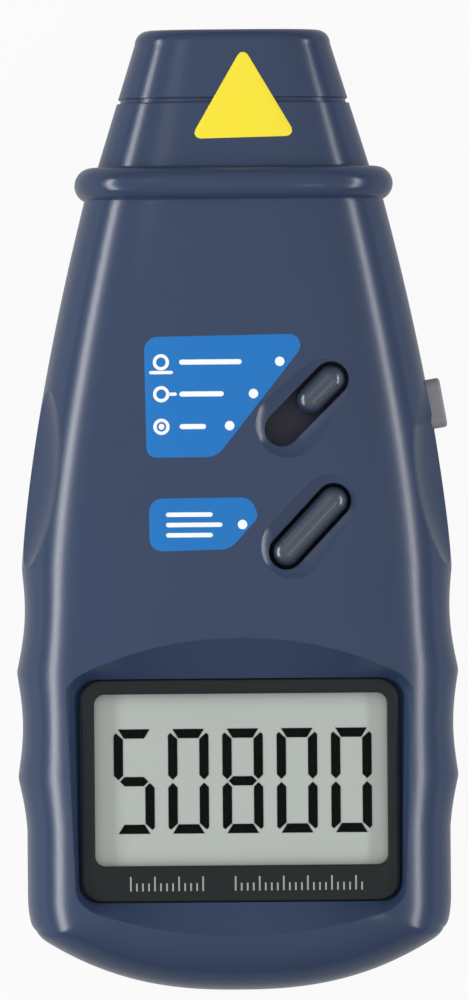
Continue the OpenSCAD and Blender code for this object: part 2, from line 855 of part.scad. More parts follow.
// Side button with its flange and stem, on a side push switch
module test_button() {
    face_r = 26;
    color("#808082") at_test() {
        intersection() {
            test_bar(test_l, test_h, -test_pad - gap, test_out + 1);
            translate([test_out - face_r, 0, -far / 2]) cylinder(r = face_r, h = far);
        }
        test_bar(test_l + 2 * test_flange, test_h + 2 * test_flange, -test_back, -test_pad - gap);
        translate([-test_back - test_stem_l, 0, 0]) rotate([0, 90, 0])
            cylinder(r = test_stem_r, h = test_stem_l);
    }
}

module test_plunger() {
    color("#d8d4c8") at_test() translate([-test_face - plunger_in + gap + test_travel, 0, 0])
        rotate([0, 90, 0]) cylinder(r = plunger_r, h = plunger_in);
}

module test_switch() {
    depth = plunger_in + gap;
    color("#2a2c30") at_test() difference() {
        translate([-test_face - test_base, -test_base / 2, -test_base / 2])
            cube([test_base, test_base, board_z - test_z + test_base / 2]);
        translate([-test_face - depth, 0, 0]) rotate([0, 90, 0])
            cylinder(r = plunger_r + plunger_gap, h = far);
    }
}

// Optics in the nose
module optics_block() {
    pipe_y = optics_front_y - 5;
    color("#222426") translate([0, 0, axis_z]) difference() {
        along_y(optics_r, optics_back_y, optics_front_y);
        translate([laser_x, 0, 0]) along_y(laser_r + snug, optics_back_y - 1, optics_front_y + 1);
        translate([lens_x, 0, 0]) {
            along_y(lens_r + snug, pipe_y, optics_front_y + 1);
            along_y(sensor_r + snug, optics_back_y - 1, pipe_y + 1);
        }
    }
}

module laser_module() {
    front = optics_front_y - 1;
    color("#b08d4a") translate([laser_x, 0, axis_z]) difference() {
        along_y(laser_r, front - laser_l, front);
        along_y(1.4, front - 2, front + 1);
    }
}

// Lens with a flat back and a round front
module receiver_lens() {
    bulge = 1.6;
    edge = 1.8;
    bulge_r = (lens_r * lens_r + bulge * bulge) / (2 * bulge);
    back = optics_front_y - 5;
    color("#cfdde2") translate([lens_x, 0, axis_z]) intersection() {
        along_y(lens_r, back, optics_front_y);
        translate([0, back + edge + bulge - bulge_r, 0]) sphere(bulge_r);
    }
}

sensor_l = 5;
sensor_back = optics_back_y - 1;

module photo_sensor() {
    color("#1d1e24") translate([lens_x, 0, axis_z]) {
        along_y(sensor_r, sensor_back, sensor_back + sensor_l);
        along_y(sensor_r + 0.4, sensor_back, sensor_back + 1);
    }
}

// Leads from the laser and the sensor up to the underside of the board
module optic_leads() {
    laser_back = optics_front_y - 1 - laser_l;
    bend_y = board_high_y - 2;
    color("#c9ccd0") for (p = [[laser_x, laser_back], [lens_x, sensor_back]], s = [-1, 1])
        translate([p[0] + s * 1.27, 0, axis_z]) {
            along_y(lead_r, bend_y, p[1]);
            translate([0, bend_y, 0]) cylinder(r = lead_r, h = board_z - axis_z);
            translate([0, bend_y, 0]) sphere(lead_r);
        }
}

// Power
cell_up = [true, false, true, false];
cap_r = 2.75;
cell_cap_l = 1;

// Cell with its button at the upper end, standing in its own axis
module cell(i) {
    low = cell_up[i] ? bay_high_y - plate_t : bay_low_y + plate_t;
    edge = 0.5;
    r = cell_d / 2;
    l = cell_l - cell_cap_l;
    color("#8c8f94") translate([cell_x[i], low, cell_z]) rotate([cell_up[i] ? 90 : -90, 0, 0])
        rotate_extrude() polygon([[0, 0], [cap_r, 0], [cap_r, cell_cap_l], [r - edge, cell_cap_l],
            [r, cell_cap_l + edge], [r, l + cell_cap_l - edge], [r - edge, l + cell_cap_l],
            [0, l + cell_cap_l]]);
}

module battery_cell_1() { cell(0); }
module battery_cell_2() { cell(1); }
module battery_cell_3() { cell(2); }
module battery_cell_4() { cell(3); }

// Conical wire spring: six-sided wire carried along a narrowing helix
wire_r = 0.4;
spring_turns = 3;
spring_steps = 10;
spring_wide_r = 5;
spring_tight_r = 2.4;

function spring_point(f) =
    let (r = mixed(spring_wide_r, spring_tight_r, f), a = 360 * spring_turns * f)
        [r * cos(a), r * sin(a), mixed(wire_r, spring_l - wire_r, f)];
function spring_ring(f) =
    let (p = spring_point(f), a = 360 * spring_turns * f)
        [for (k = [0:5]) p + wire_r * [cos(60 * k) * cos(a), cos(60 * k) * sin(a), sin(60 * k)]];

module spring() {
    count = spring_turns * spring_steps;
    loft([for (i = [0:count]) let (r = spring_ring(i / count)) [for (k = [5:-1:0]) r[k]]]);
}

module battery_springs() {
    color("#c9ccd0") for (i = [0:3])
        translate([cell_x[i], cell_up[i] ? bay_low_y + plate_t : bay_high_y - plate_t, cell_z])
            rotate([cell_up[i] ? -90 : 90, 0, 0]) spring();
}

// Contact plates: two bridges at the bottom, one bridge and two tabbed plates at the top
module battery_plates() {
    plate_w = 11;
    bridge_w = cell_pitch + plate_w;
    color("#c9ccd0") {
        for (s = [-1, 1]) {
            translate([s * cell_pitch - bridge_w / 2, bay_low_y, cell_z - plate_w / 2])
                cube([bridge_w, plate_t, plate_w]);
            translate([s * cell_x[3] - plate_w / 2, bay_high_y - plate_t, cell_z - plate_w / 2])
                cube([plate_w, plate_t, plate_w]);
            translate([s * cell_x[3] - tab_w / 2, bay_high_y - plate_t, cell_z])
                cube([tab_w, plate_t, board_z - cell_z]);
        }
        translate([-bridge_w / 2, bay_high_y - plate_t, cell_z - plate_w / 2])
            cube([bridge_w, plate_t, plate_w]);
    }
}

// Pan-head screw, head down, with a cross recess
module screw(r, head_r, head_t, reach) {
    slot = head_r * 0.28;
    difference() {
        union() {
            cylinder(r = r, h = reach);
            translate([0, 0, -head_t]) cylinder(r = head_r, h = head_t);
        }
        for (a = [0, 90])
            rotate(a) translate([-head_r * 0.55, -slot / 2, -head_t - 1])
                cube([head_r * 1.1, slot, 1 + head_t * 0.5]);
    }
}

module case_screws() {
    color("#9a9ca0") for (s = [-1, 1], p = case_screws_at)
        translate([s * p[0], p[1], screw_seat_z])
            screw(screw_r, screw_head_r, screw_head_t, part_z + screw_reach - screw_seat_z);
}

module board_screws() {
    color("#9a9ca0") for (s = [-1, 1], p = board_screws_at)
        translate([s * p[0], p[1], board_z])
            screw(board_screw_r, board_head_r, board_head_t, board_t + board_screw_in);
}

front_case();
back_case();
battery_door();
nose_cap();
nose_window();
display_bezel();
display_lens();
lcd_panel();
lcd_holder();
zebra_strips();
main_board();
controller_chip();
quartz_crystal();
mode_knob();
mode_slider();
mode_switch();
memory_button();
memory_plunger();
memory_switch();
test_button();
test_plunger();
test_switch();
optics_block();
laser_module();
receiver_lens();
photo_sensor();
optic_leads();
battery_cell_1();
battery_cell_2();
battery_cell_3();
battery_cell_4();
battery_springs();
battery_plates();
case_screws();
board_screws();
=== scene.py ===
"""Looks of a handheld laser tachometer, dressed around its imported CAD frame.

The object lies on its back: X across, +Y towards the nose, +Z out of the display.
Lengths are in millimetres until a mesh is written, which is in metres.
"""

import math

import bmesh
import bpy
import numpy as np
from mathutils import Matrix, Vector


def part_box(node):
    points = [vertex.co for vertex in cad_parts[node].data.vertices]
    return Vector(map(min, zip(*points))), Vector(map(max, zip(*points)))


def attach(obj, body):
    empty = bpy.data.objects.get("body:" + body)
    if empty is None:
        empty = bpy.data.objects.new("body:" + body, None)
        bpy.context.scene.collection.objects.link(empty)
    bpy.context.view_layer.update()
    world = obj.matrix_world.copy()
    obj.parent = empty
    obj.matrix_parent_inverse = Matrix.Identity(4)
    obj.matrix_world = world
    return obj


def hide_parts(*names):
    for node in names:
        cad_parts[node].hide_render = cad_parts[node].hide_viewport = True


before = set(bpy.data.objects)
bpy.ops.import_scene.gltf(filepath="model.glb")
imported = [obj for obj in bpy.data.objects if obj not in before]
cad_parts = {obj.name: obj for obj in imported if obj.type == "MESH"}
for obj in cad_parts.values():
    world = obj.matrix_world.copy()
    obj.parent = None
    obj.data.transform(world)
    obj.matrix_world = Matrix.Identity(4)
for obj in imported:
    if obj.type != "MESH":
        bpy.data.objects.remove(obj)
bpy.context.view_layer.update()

MM = 0.001


def box(node):
    """Lowest and highest corners of a CAD node, in millimetres."""
    return [np.array(corner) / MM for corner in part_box(node)]


# Places read from the frame
front_low, front_high = box("front_case")
cap_high = box("nose_cap")[1]
bezel_low, bezel_high = box("display_bezel")
lens_low, lens_high = box("display_lens")
lcd_low, lcd_high = box("lcd_panel")
knob_low, knob_high = box("mode_knob")
bar_high = box("memory_button")[1]
test_low, test_high = box("test_button")
door_high = box("battery_door")[1]
window_high = box("nose_window")[1]
screws_low, screws_high = box("case_screws")
bottom_y, part_z = front_low[1], front_low[2]
case_top_y, crown_z = front_high[1], front_high[2]
tip_y = cap_high[1]

# Side line of the case
CASE_W = 72.0
NECK_W = 50.0
SHOULDER_Y = bottom_y + 67.0
NOSE_L = 22.8
COLLAR_L = 5.7
COLLAR_RISE = 2.7
NOSE_BASE_W = 45.4
NOSE_TIP_W = 31.2
NOSE_Y = tip_y - NOSE_L
NECK_Y = NOSE_Y - COLLAR_L
COLLAR_Y = NOSE_Y - COLLAR_L / 2
SHOULDER_POWER = 1.5
WAVE_Y = bottom_y + 70.6
WAVE_PITCH = 17.5
WAVE_H = 0.9
WAVE_LAST = 2.5
WAVE_SOFT = 0.004
WAVE_FADE = 16
CORNER_Y = bottom_y + 15.5
CORNER_RUN = 5.0
CORNER_LOSS = 0.7
CORNER_BLEND = 1.6
CORNER_REACH = 3.0
BOTTOM_RISE = 10.8
BOTTOM_POWER = 2.45
END_L = 36.0
END_SWEEP = math.radians(76)
END_FOLLOW = 30.0
CREASE = 0.7

# Depths of the two halves
NECK_DROP = 2.4
TIP_DEPTH = 12.0
FRONT = {"sign": 1, "n": 3.0, "end_n": 4.0, "full": crown_z - part_z,
         "neck": crown_z - part_z - NECK_DROP, "nose": 15.0}
BACK = {"sign": -1, "n": 6.0, "end_n": 6.0, "full": part_z + 0.5,
        "neck": part_z - 2, "nose": part_z - 4}
WALL = 2.2
SEAM = 0.22

# Display
BEZEL_PROUD = 0.2
VIEW_W, VIEW_H = 48.6, 28.5
lens_y = (lens_low[1] + lens_high[1]) / 2
lens_size = lens_high - lens_low
VIEW_AT = (0.2, lens_y + 0.45)
pocket_z = bezel_high[2] - BEZEL_PROUD
bezel_y = (bezel_low[1] + bezel_high[1]) / 2
bezel_size = bezel_high - bezel_low

# Controls
MODE_AT, MODE_TURN = (11.5, 17.5), 45.0
MEMORY_AT, MEMORY_TURN = (11.9, -2.8), 47.0
SLOT_L, SLOT_W = 17.4, 5.8
SLOT_GAP = 0.6
KNOB_L = 9.4
KNOB_TRAVEL = SLOT_L - 2 * SLOT_GAP - KNOB_L
DISH_W, DISH_DEPTH, DISH_RUN = 10.4, 1.5, 10.0
DISH_OFF = (0.7, 0.35)
deck_z = crown_z - 5.4
TEST_Y = 17.35
TEST_L, TEST_H, TEST_R = 8.3, 7.4, 1.6
GAP = 0.3


def mixed(a, b, f):
    """Straight line from a to b."""
    return a + (b - a) * f


def smooth_min(a, b, k):
    """Lower of two heights, blended by a parabola where they are closer than k."""
    h = np.maximum(k - np.abs(a - b), 0) / k
    return np.minimum(a, b) - h * h * k / 4


def smooth_step(f):
    """Cubic ease from 0 to 1."""
    f = np.clip(f, 0, 1)
    return f * f * (3 - 2 * f)


def over_collar(a, b, y):
    """Line from neck to nose, with the collar's half-round bead standing on it."""
    f = np.clip((y - COLLAR_Y) / (COLLAR_L / 2), -1, 1)
    bead = (a + b) / 2 + COLLAR_RISE - COLLAR_L / 2 * (1 - np.sqrt(1 - f * f))
    return np.maximum(mixed(a, b, (y - NECK_Y) / COLLAR_L), bead)


def along_case(y, body, neck, nose, tip):
    """Picks the body's value, the collar's bead or the straight nose by the place along the case."""
    on_nose = mixed(nose, tip, (y - NOSE_Y) / NOSE_L)
    return np.select([y >= NOSE_Y, y > NECK_Y], [on_nose, over_collar(neck, nose, y)], body)


def crest_line(y):
    """Half width over the crests: a power curve from shoulder to neck, a gentle swell over the waves."""
    k = (WAVE_Y - y) / WAVE_PITCH
    taper = np.clip((y - SHOULDER_Y) / (NECK_Y - SHOULDER_Y), 0, 1) ** SHOULDER_POWER
    upper = CASE_W / 2 - (CASE_W - NECK_W) / 2 * taper
    swell = np.interp(k, [0, 1, 2, WAVE_LAST], [-0.145, 0.8, 0.7, 0.15])
    corner = CORNER_LOSS * (np.maximum(0, CORNER_Y - y) / CORNER_RUN) ** 2
    body = np.where(k < 0, upper, CASE_W / 2 + swell - corner)
    return along_case(y, body, NECK_W / 2, NOSE_BASE_W / 2, NOSE_TIP_W / 2)


def wave_dip(y):
    """Finger hollows: rectified sine waves, softened at the crests."""
    k = np.clip((WAVE_Y - y) / WAVE_PITCH, 0, WAVE_LAST)
    return -WAVE_H * (np.sqrt(np.sin(math.pi * k) ** 2 + WAVE_SOFT) - math.sqrt(WAVE_SOFT))


def half_width(y):
    return crest_line(y) + wave_dip(y)


def depth(y, half):
    """Depth of one half at its middle: a parabola from the middle of the case to the neck."""
    body = mixed(half["full"], half["neck"], (np.maximum(y, 0) / NECK_Y) ** 2)
    return along_case(y, body, half["neck"], half["nose"], TIP_DEPTH)


def bottom_sag(x):
    """Rise of the round bottom edge towards the sides: a power curve."""
    return BOTTOM_RISE * (np.abs(x) / (CASE_W / 2)) ** BOTTOM_POWER


def end_depth(x, y, half, inset=0.0):
    """Depth left by the rounded bottom end: a superellipse over the distance from the bottom edge."""
    v = np.clip(1 - (y - bottom_y - bottom_sag(x) - inset) / END_L, 0, 1)
    return (half["full"] - inset) * (1 - v ** half["end_n"]) ** (1 / half["end_n"])


def front_z(x, y):
    """Height of the plain front at points of the plan."""
    u = np.minimum(np.abs(x) / crest_line(y), 1)
    side = depth(y, FRONT) * (1 - u ** FRONT["n"]) ** (1 / FRONT["n"])
    return part_z + np.maximum(smooth_min(side, end_depth(x, y, FRONT), CREASE), 0)


# Meshes
def grid_faces(rows, columns, wrap=False, wrap_rows=False):
    """Quads of a grid of points; wrap joins the last column to the first, wrap_rows the last row."""
    i, j = np.meshgrid(np.arange(rows if wrap_rows else rows - 1),
                       np.arange(columns if wrap else columns - 1), indexing="ij")
    up, on = (i + 1) % rows, (j + 1) % columns
    quads = [i * columns + j, i * columns + on, up * columns + on, up * columns + j]
    return np.stack(quads, -1).reshape(-1, 4)


def solid(name, points, faces):
    """Object from points in millimetres and faces, with its normals turned outwards."""
    mesh = bpy.data.meshes.new(name)
    mesh.from_pydata((np.asarray(points).reshape(-1, 3) * MM).tolist(), [], faces)
    work = bmesh.new()
    work.from_mesh(mesh)
    bmesh.ops.recalc_face_normals(work, faces=work.faces)
    work.to_mesh(mesh)
    work.free()
    made = bpy.data.objects.new(name, mesh)
    bpy.context.scene.collection.objects.link(made)
    return made


def tube(name, rings):
    """Skin over a stack of closed rings, with a flat lid on both ends."""
    rings = np.asarray(rings)
    rows, columns = rings.shape[:2]
    lids = [list(range(columns)), list(range((rows - 1) * columns, rows * columns))]
    return solid(name, rings, grid_faces(rows, columns, wrap=True).tolist() + lids)


def hoop(name, rings):
    """Skin over rings that end where they began, like a frame round a window."""
    rings = np.asarray(rings)
    return solid(name, rings, grid_faces(*rings.shape[:2], wrap=True, wrap_rows=True).tolist())


def fused(name, *parts):
    """Joins several objects' meshes in one."""
    points, faces, start = [], [], 0
    for part in parts:
        mesh = part.data
        points.append(np.array([v.co for v in mesh.vertices]) / MM)
        faces += [[start + v for v in p.vertices] for p in mesh.polygons]
        start += len(mesh.vertices)
        bpy.data.objects.remove(part)
    return solid(name, np.concatenate(points), faces)


def carve(base, *cutters, operation="DIFFERENCE"):
    """Cuts the base with closed solids for good, and removes those."""
    for cutter in cutters:
        cut = base.modifiers.new("cut", "BOOLEAN")
        cut.operation = operation
        cut.solver = "MANIFOLD"
        cut.object = cutter
    graph = bpy.context.evaluated_depsgraph_get()
    mesh = bpy.data.meshes.new_from_object(base.evaluated_get(graph))
    base.modifiers.clear()
    base.data = mesh
    for cutter in cutters:
        bpy.data.objects.remove(cutter)
    return base


def dress(made, material, body, slot, *nodes, sharp=16.0):
    """Gives a piece smooth shading between its edges, a material and a body, and hides its nodes; the slot
    is not used.
    """
    mesh = made.data
    mesh.materials.clear()
    mesh.materials.append(material)
    mesh.polygons.foreach_set("material_index", np.zeros(len(mesh.polygons), np.int32))
    mesh.shade_smooth()
    mesh.set_sharp_from_angle(angle=math.radians(sharp))
    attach(made, body)
    if nodes:
        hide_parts(*nodes)
    return made


# Flat outlines
def rounded_outline(corners, steps=10):
    """Polygon of (x, y, radius) corners, each replaced by an arc that touches both of its sides."""
    corners = np.asarray(corners, float)
    points = []
    for before, (x, y, r), after in zip(np.roll(corners, 1, 0), corners, np.roll(corners, -1, 0)):
        a, b = before[:2] - (x, y), after[:2] - (x, y)
        a, b = a / np.linalg.norm(a), b / np.linalg.norm(b)
        half = math.acos(np.clip(a @ b, -1, 1)) / 2
        way = (a + b) / np.linalg.norm(a + b)
        centre = np.array([x, y]) + way * r / math.sin(half)
        start = math.atan2(*(np.array([x, y]) + a * r / math.tan(half) - centre)[::-1])
        stop = math.atan2(*(np.array([x, y]) + b * r / math.tan(half) - centre)[::-1])
        turn = (stop - start + math.pi) % (2 * math.pi) - math.pi
        angle = start + turn * np.linspace(0, 1, steps)
        points.append(centre + r * np.stack([np.cos(angle), np.sin(angle)], -1))
    return np.concatenate(points)


def rounded_box(w, h, r, steps=10, at=(0.0, 0.0)):
    corners = [(w / 2, h / 2, r), (-w / 2, h / 2, r), (-w / 2, -h / 2, r), (w / 2, -h / 2, r)]
    return rounded_outline(corners, steps) + at


def denser(outline, step):
    """Same outline with points at an even spacing near step."""
    closed = np.concatenate([outline, outline[:1]])
    run = np.concatenate([[0], np.cumsum(np.linalg.norm(np.diff(closed, axis=0), axis=1))])
    s = np.linspace(0, run[-1], max(12, int(run[-1] / step)), endpoint=False)
    return np.stack([np.interp(s, run, closed[:, 0]), np.interp(s, run, closed[:, 1])], -1)


def stadium(l, w, steps=24):
    """Bar with round ends."""
    return rounded_box(l, w, w / 2 - 1e-3, steps)


def turned(outline, at, degrees):
    """Outline turned about its own origin and carried to a place."""
    a = math.radians(degrees)
    return outline @ np.array([[math.cos(a), math.sin(a)], [-math.sin(a), math.cos(a)]]) + at


def level(outline, z):
    """Flat outline as a ring at a height."""
    return np.column_stack([outline, np.broadcast_to(z, len(outline))])


def prism(name, outline, low, high):
    return tube(name, [level(outline, low), level(outline, high)])


# Case halves
def half_grid(y0, follow, columns, half, inset=0.0):
    """Skin of one half: superellipse sections along the case. The lowest rows follow the round bottom edge,
    and the section's height is the lower of the side's and the bottom end's, so both meet in a crease."""
    t = np.linspace(0, math.pi, columns)
    f = np.sign(np.cos(t)) * np.abs(np.cos(t)) ** (2 / half["n"])
    rise = np.abs(np.sin(t)) ** (2 / half["n"])
    y0, follow = y0[:, None], follow[:, None]
    y = y0 + 0 * f
    for _ in range(5):
        x = f * (crest_line(y) + wave_dip(y) * np.abs(f) ** WAVE_FADE - inset)
        y = y0 + follow * bottom_sag(x)
    side = (depth(y, half) - inset) * rise
    end = end_depth(x, y, half, inset)
    height = np.where(y < NECK_Y, np.maximum(smooth_min(side, end, CREASE), 0), side)
    height = np.where(np.minimum(side, end) < CREASE, np.minimum(side, end), height)
    inner_side = half_width(y) - inset - np.abs(x)
    inner_end = y - bottom_y - inset - bottom_sag(x)
    near = np.maximum(CORNER_BLEND - np.abs(inner_side - inner_end), 0) / CORNER_BLEND
    shift = near**2 * CORNER_BLEND / 4 * np.clip(1 - np.minimum(inner_side, inner_end) / CORNER_REACH, 0, 1)
    z = part_z + half["sign"] * height
    if half["sign"] < 0:
        z = np.maximum(z, inset)
    return np.stack([x - np.sign(x) * shift, y + shift, z], -1)


def case_rows(half, step, inset=0.0):
    """Places of the rows: along the end's curve, evenly up the body, closer on the collar, to the nose cap.
    Also how far each row follows the round bottom edge."""
    tau = np.linspace(0, END_SWEEP, int(END_L / step))
    end = bottom_y + inset + END_L * (1 - np.cos(tau) ** (2 / half["end_n"]))
    body = np.linspace(end[-1], NECK_Y, int((NECK_Y - end[-1]) / step) + 1)[1:]
    bead = COLLAR_Y - COLLAR_L / 2 * np.cos(np.linspace(0, math.pi, max(9, int(14 / step))))[1:]
    nose = np.linspace(NOSE_Y, case_top_y, max(3, int((case_top_y - NOSE_Y) / step)))[1:]
    y0 = np.concatenate([end, body, bead, nose])
    return y0, 1 - smooth_step((y0 - bottom_y) / END_FOLLOW)


def closed_half(name, grid, half, inward, drop):
    """Closes a half: a flat end at the top, and a rim turned inwards at the parting plane."""
    rows, columns = grid.shape[:2]
    row = np.arange(rows)
    loop = np.concatenate([row[::-1] * columns, np.arange(1, columns - 1), row * columns + columns - 1])
    points = grid.reshape(-1, 3).copy()
    edge = points[loop]
    along = np.roll(edge, -1, 0) - np.roll(edge, 1, 0)
    inside = np.stack([along[:, 1], -along[:, 0]], -1)
    inside /= np.linalg.norm(inside, axis=1, keepdims=True)
    area = np.sum(edge[:, 0] * np.roll(edge[:, 1], -1) - np.roll(edge[:, 0], -1) * edge[:, 1])
    rim = edge.copy()
    rim[:, :2] += inside * inward * (-1 if area > 0 else 1)
    rim[:, 2] = part_z - half["sign"] * drop
    points[loop, 2] += half["sign"] * inward
    count, start = len(loop), len(points)
    on = np.arange(count)
    band = np.stack([loop, np.roll(loop, -1), start + np.roll(on, -1), start + on], -1)
    lids = [list(range((rows - 1) * columns, rows * columns)), list(range(start, start + count))]
    faces = grid_faces(rows, columns).tolist() + band.tolist() + lids
    return solid(name, np.concatenate([points, rim]), faces)


def half_skin(name, half, step, columns):
    """Outer form of one half, with a fine groove where the halves meet."""
    grid = half_grid(*case_rows(half, step), columns, half)
    return closed_half(name, grid, half, SEAM, 0.0)


def half_room(name, half, ceiling):
    """Room inside one half, under a flat ceiling, open past the parting plane and the nose end."""
    y0, follow = case_rows(half, 2.0, WALL)
    grid = half_grid(np.append(y0, case_top_y + 1), np.append(follow, 0), 41, half, WALL)
    if half["sign"] > 0:
        grid[..., 2] = np.minimum(grid[..., 2], ceiling)
    return closed_half(name, grid, half, 0.0, 1.0)


# Tools that cut the case
def pocket_cutter():
    """Display pocket: walls ruled from the floor's outline to an outline drawn on the front. The side walls
    reach down beside the bezel."""
    count, steps, lift = 380, 40, 1.2
    floor_gap, floor_r = 0.2, 3.6
    top, top_hw, top_r = -28.0, 28.9, 2.4
    low, low_hw, low_r = -66.2, 27.3, 3.4
    floor_w, floor_h = bezel_size[:2] + 2 * floor_gap
    floor = rounded_box(floor_w, floor_h, floor_r, steps, (0, bezel_y))
    corners = [(top_hw, top, top_r), (-top_hw, top, top_r), (-low_hw, low, low_r), (low_hw, low, low_r)]
    rim = rounded_outline(corners, steps)
    floor, rim = by_bearing(floor, count, (0, bezel_y)), by_bearing(rim, count, (0, bezel_y))
    x, y = rim[:, 0], rim[:, 1]
    arch = 6.8 * np.maximum(0, 1 - np.abs(x / 28.0) ** 2.15)
    bow = -4.6 * np.maximum(0, 1 - np.abs(x / 26.0) ** 2)
    rim = np.column_stack([x, y + np.where(y > bezel_y + 15, arch, np.where(y < bezel_y - 15, bow, 0))])
    top_ring = level(rim, front_z(rim[:, 0], rim[:, 1]))
    beside = smooth_step((np.abs(floor[:, 0]) - floor[:, 0].max()) / floor_r + 1)
    floor_ring = level(floor, mixed(pocket_z, bezel_low[2], beside))
    over = top_ring + lift * (top_ring - floor_ring)
    over[:, 2] = np.maximum(over[:, 2], top_ring[:, 2] + 0.8)
    lid = over.copy()
    lid[:, 2] = crown_z + 20
    f = np.linspace(0, 1, 9)[:, None, None]
    return tube("pocket", np.concatenate([mixed(floor_ring, top_ring, f), [over, lid]]))


def by_bearing(outline, count, centre):
    """Outline sampled at even steps of a bearing that is stretched like the display."""
    local = denser(outline, 0.05) - centre
    stretch = np.array([bezel_size[0], bezel_size[1]])
    bearing = np.arctan2(local[:, 1] / stretch[1], local[:, 0] / stretch[0])
    order = np.argsort(bearing)
    want = np.linspace(-math.pi, math.pi, count, endpoint=False)
    return np.stack([np.interp(want, bearing[order], local[order, k], period=2 * math.pi) for k in (0, 1)],
                    -1) + centre


def dish_cutter(at, degrees):
    """Oval dish: a fat capsule whose underside dips below the front."""
    r = ((DISH_W / 2) ** 2 + DISH_DEPTH**2) / (2 * DISH_DEPTH)
    theta = np.linspace(0.02, math.pi - 0.02, 160)[:, None]
    phi = np.linspace(0, 2 * math.pi, 240, endpoint=False)
    x = -r * np.cos(theta) + np.sign(theta - math.pi / 2) * DISH_RUN / 2 + 0 * phi
    z = front_z(*np.array(at)) - DISH_DEPTH + r + r * np.sin(theta) * np.cos(phi)
    plan = turned(np.stack([x, r * np.sin(theta) * np.sin(phi)], -1), at, degrees)
    return tube("dish", np.concatenate([plan, z[..., None]], -1))


def scoop_cutter(side, grow=0.0):
    """Side scoop: a round bar bent about an upright axis beside the case."""
    y, inset, hollow, bend = 5.4, 4.7, 1.4, 40.0
    high, low = crown_z - 5.8, part_z + 0.6
    chord = math.hypot(inset, high - low)
    r = (chord**2 / 4 + hollow**2) / (2 * hollow)
    ring = bend - r
    x = -inset / 2 + (r - hollow) * (high - low) / chord + ring
    z = (high + low) / 2 + (r - hollow) * inset / chord
    tilt = math.degrees(math.atan((half_width(y - 1) - half_width(y + 1)) / 2))
    r += grow
    bearing = math.pi + np.linspace(-0.8, 0.8, 240 if grow == 0 else 60)[:, None]
    around = np.linspace(0, 2 * math.pi, 480 if grow == 0 else 90, endpoint=False)
    reach = ring + r * np.cos(around)
    local = np.stack([x + reach * np.cos(bearing), reach * np.sin(bearing)], -1)
    plan = turned(local, (half_width(y), y), tilt) * (side, 1)
    return tube("scoop", np.concatenate([plan, z + r * np.sin(around + 0 * bearing)[..., None]], -1))


def test_frame():
    """Origin and tilt of the side button, on the right wall."""
    tilt = math.degrees(math.atan((half_width(TEST_Y - 1) - half_width(TEST_Y + 1)) / 2))
    return np.array([half_width(TEST_Y), TEST_Y]), tilt, (test_low[2] + test_high[2]) / 2


def test_rings(profile):
    """Rings of a rounded bar along the side button's push line, from (distance, growth) pairs."""
    at, tilt, z = test_frame()
    rings = []
    for out, grow in profile:
        outline = rounded_box(TEST_L + 2 * grow, TEST_H + 2 * grow, TEST_R + grow * 0.7, 12)
        plan = turned(np.column_stack([np.full(len(outline), out), outline[:, 0]]), at, tilt)
        rings.append(np.column_stack([plan, z + outline[:, 1]]))
    return np.array(rings)


def front_shell():
    """Front half: outer skin, hollowed, with pocket, recess, window, dishes, slots and scoops."""
    tray_z = lcd_low[2] + 0.9
    room = half_room("room", FRONT, min(tray_z, deck_z))
    carve(room, scoop_cutter(1, WALL), scoop_cutter(-1, WALL))
    shell = half_skin("front_shell", FRONT, 0.55, 181)
    mode_slot = turned(stadium(SLOT_L, SLOT_W), MODE_AT, MODE_TURN)
    memory_slot = turned(stadium(SLOT_L, SLOT_W), MEMORY_AT, MEMORY_TURN)
    recess = rounded_box(bezel_size[0] + 0.3, bezel_size[1] + 0.3, 3.5, 16, (0, bezel_y))
    window = rounded_box(lens_size[0] + 0.4, lens_size[1] + 0.4, 0.8, 6, (0, lens_y))
    flange_room = turned(stadium(SLOT_L + 3, SLOT_W + 3), MEMORY_AT, MEMORY_TURN)
    slider_room = turned(stadium(SLOT_L + 2 * KNOB_TRAVEL + 2, SLOT_W + 2), MODE_AT, MODE_TURN)
    above = crown_z + 10
    return carve(
        shell, room, pocket_cutter(), scoop_cutter(1), scoop_cutter(-1),
        dish_cutter(np.add(MODE_AT, DISH_OFF), MODE_TURN),
        dish_cutter(np.add(MEMORY_AT, DISH_OFF), MEMORY_TURN),
        prism("recess", recess, bezel_low[2], above),
        prism("window", window, part_z, above),
        prism("mode_slot", mode_slot, part_z, above),
        prism("memory_slot", memory_slot, part_z, above),
        prism("flange_room", flange_room, part_z, deck_z),
        prism("slider_room", slider_room, part_z, deck_z),
        tube("test_slot", test_rings([(-9, GAP), (9, GAP)])))


def block(name, low, high):
    """Plain cutter between two corners."""
    outline = np.array([(low[0], low[1]), (high[0], low[1]), (high[0], high[1]), (low[0], high[1])])
    return prism(name, outline, low[2], high[2])


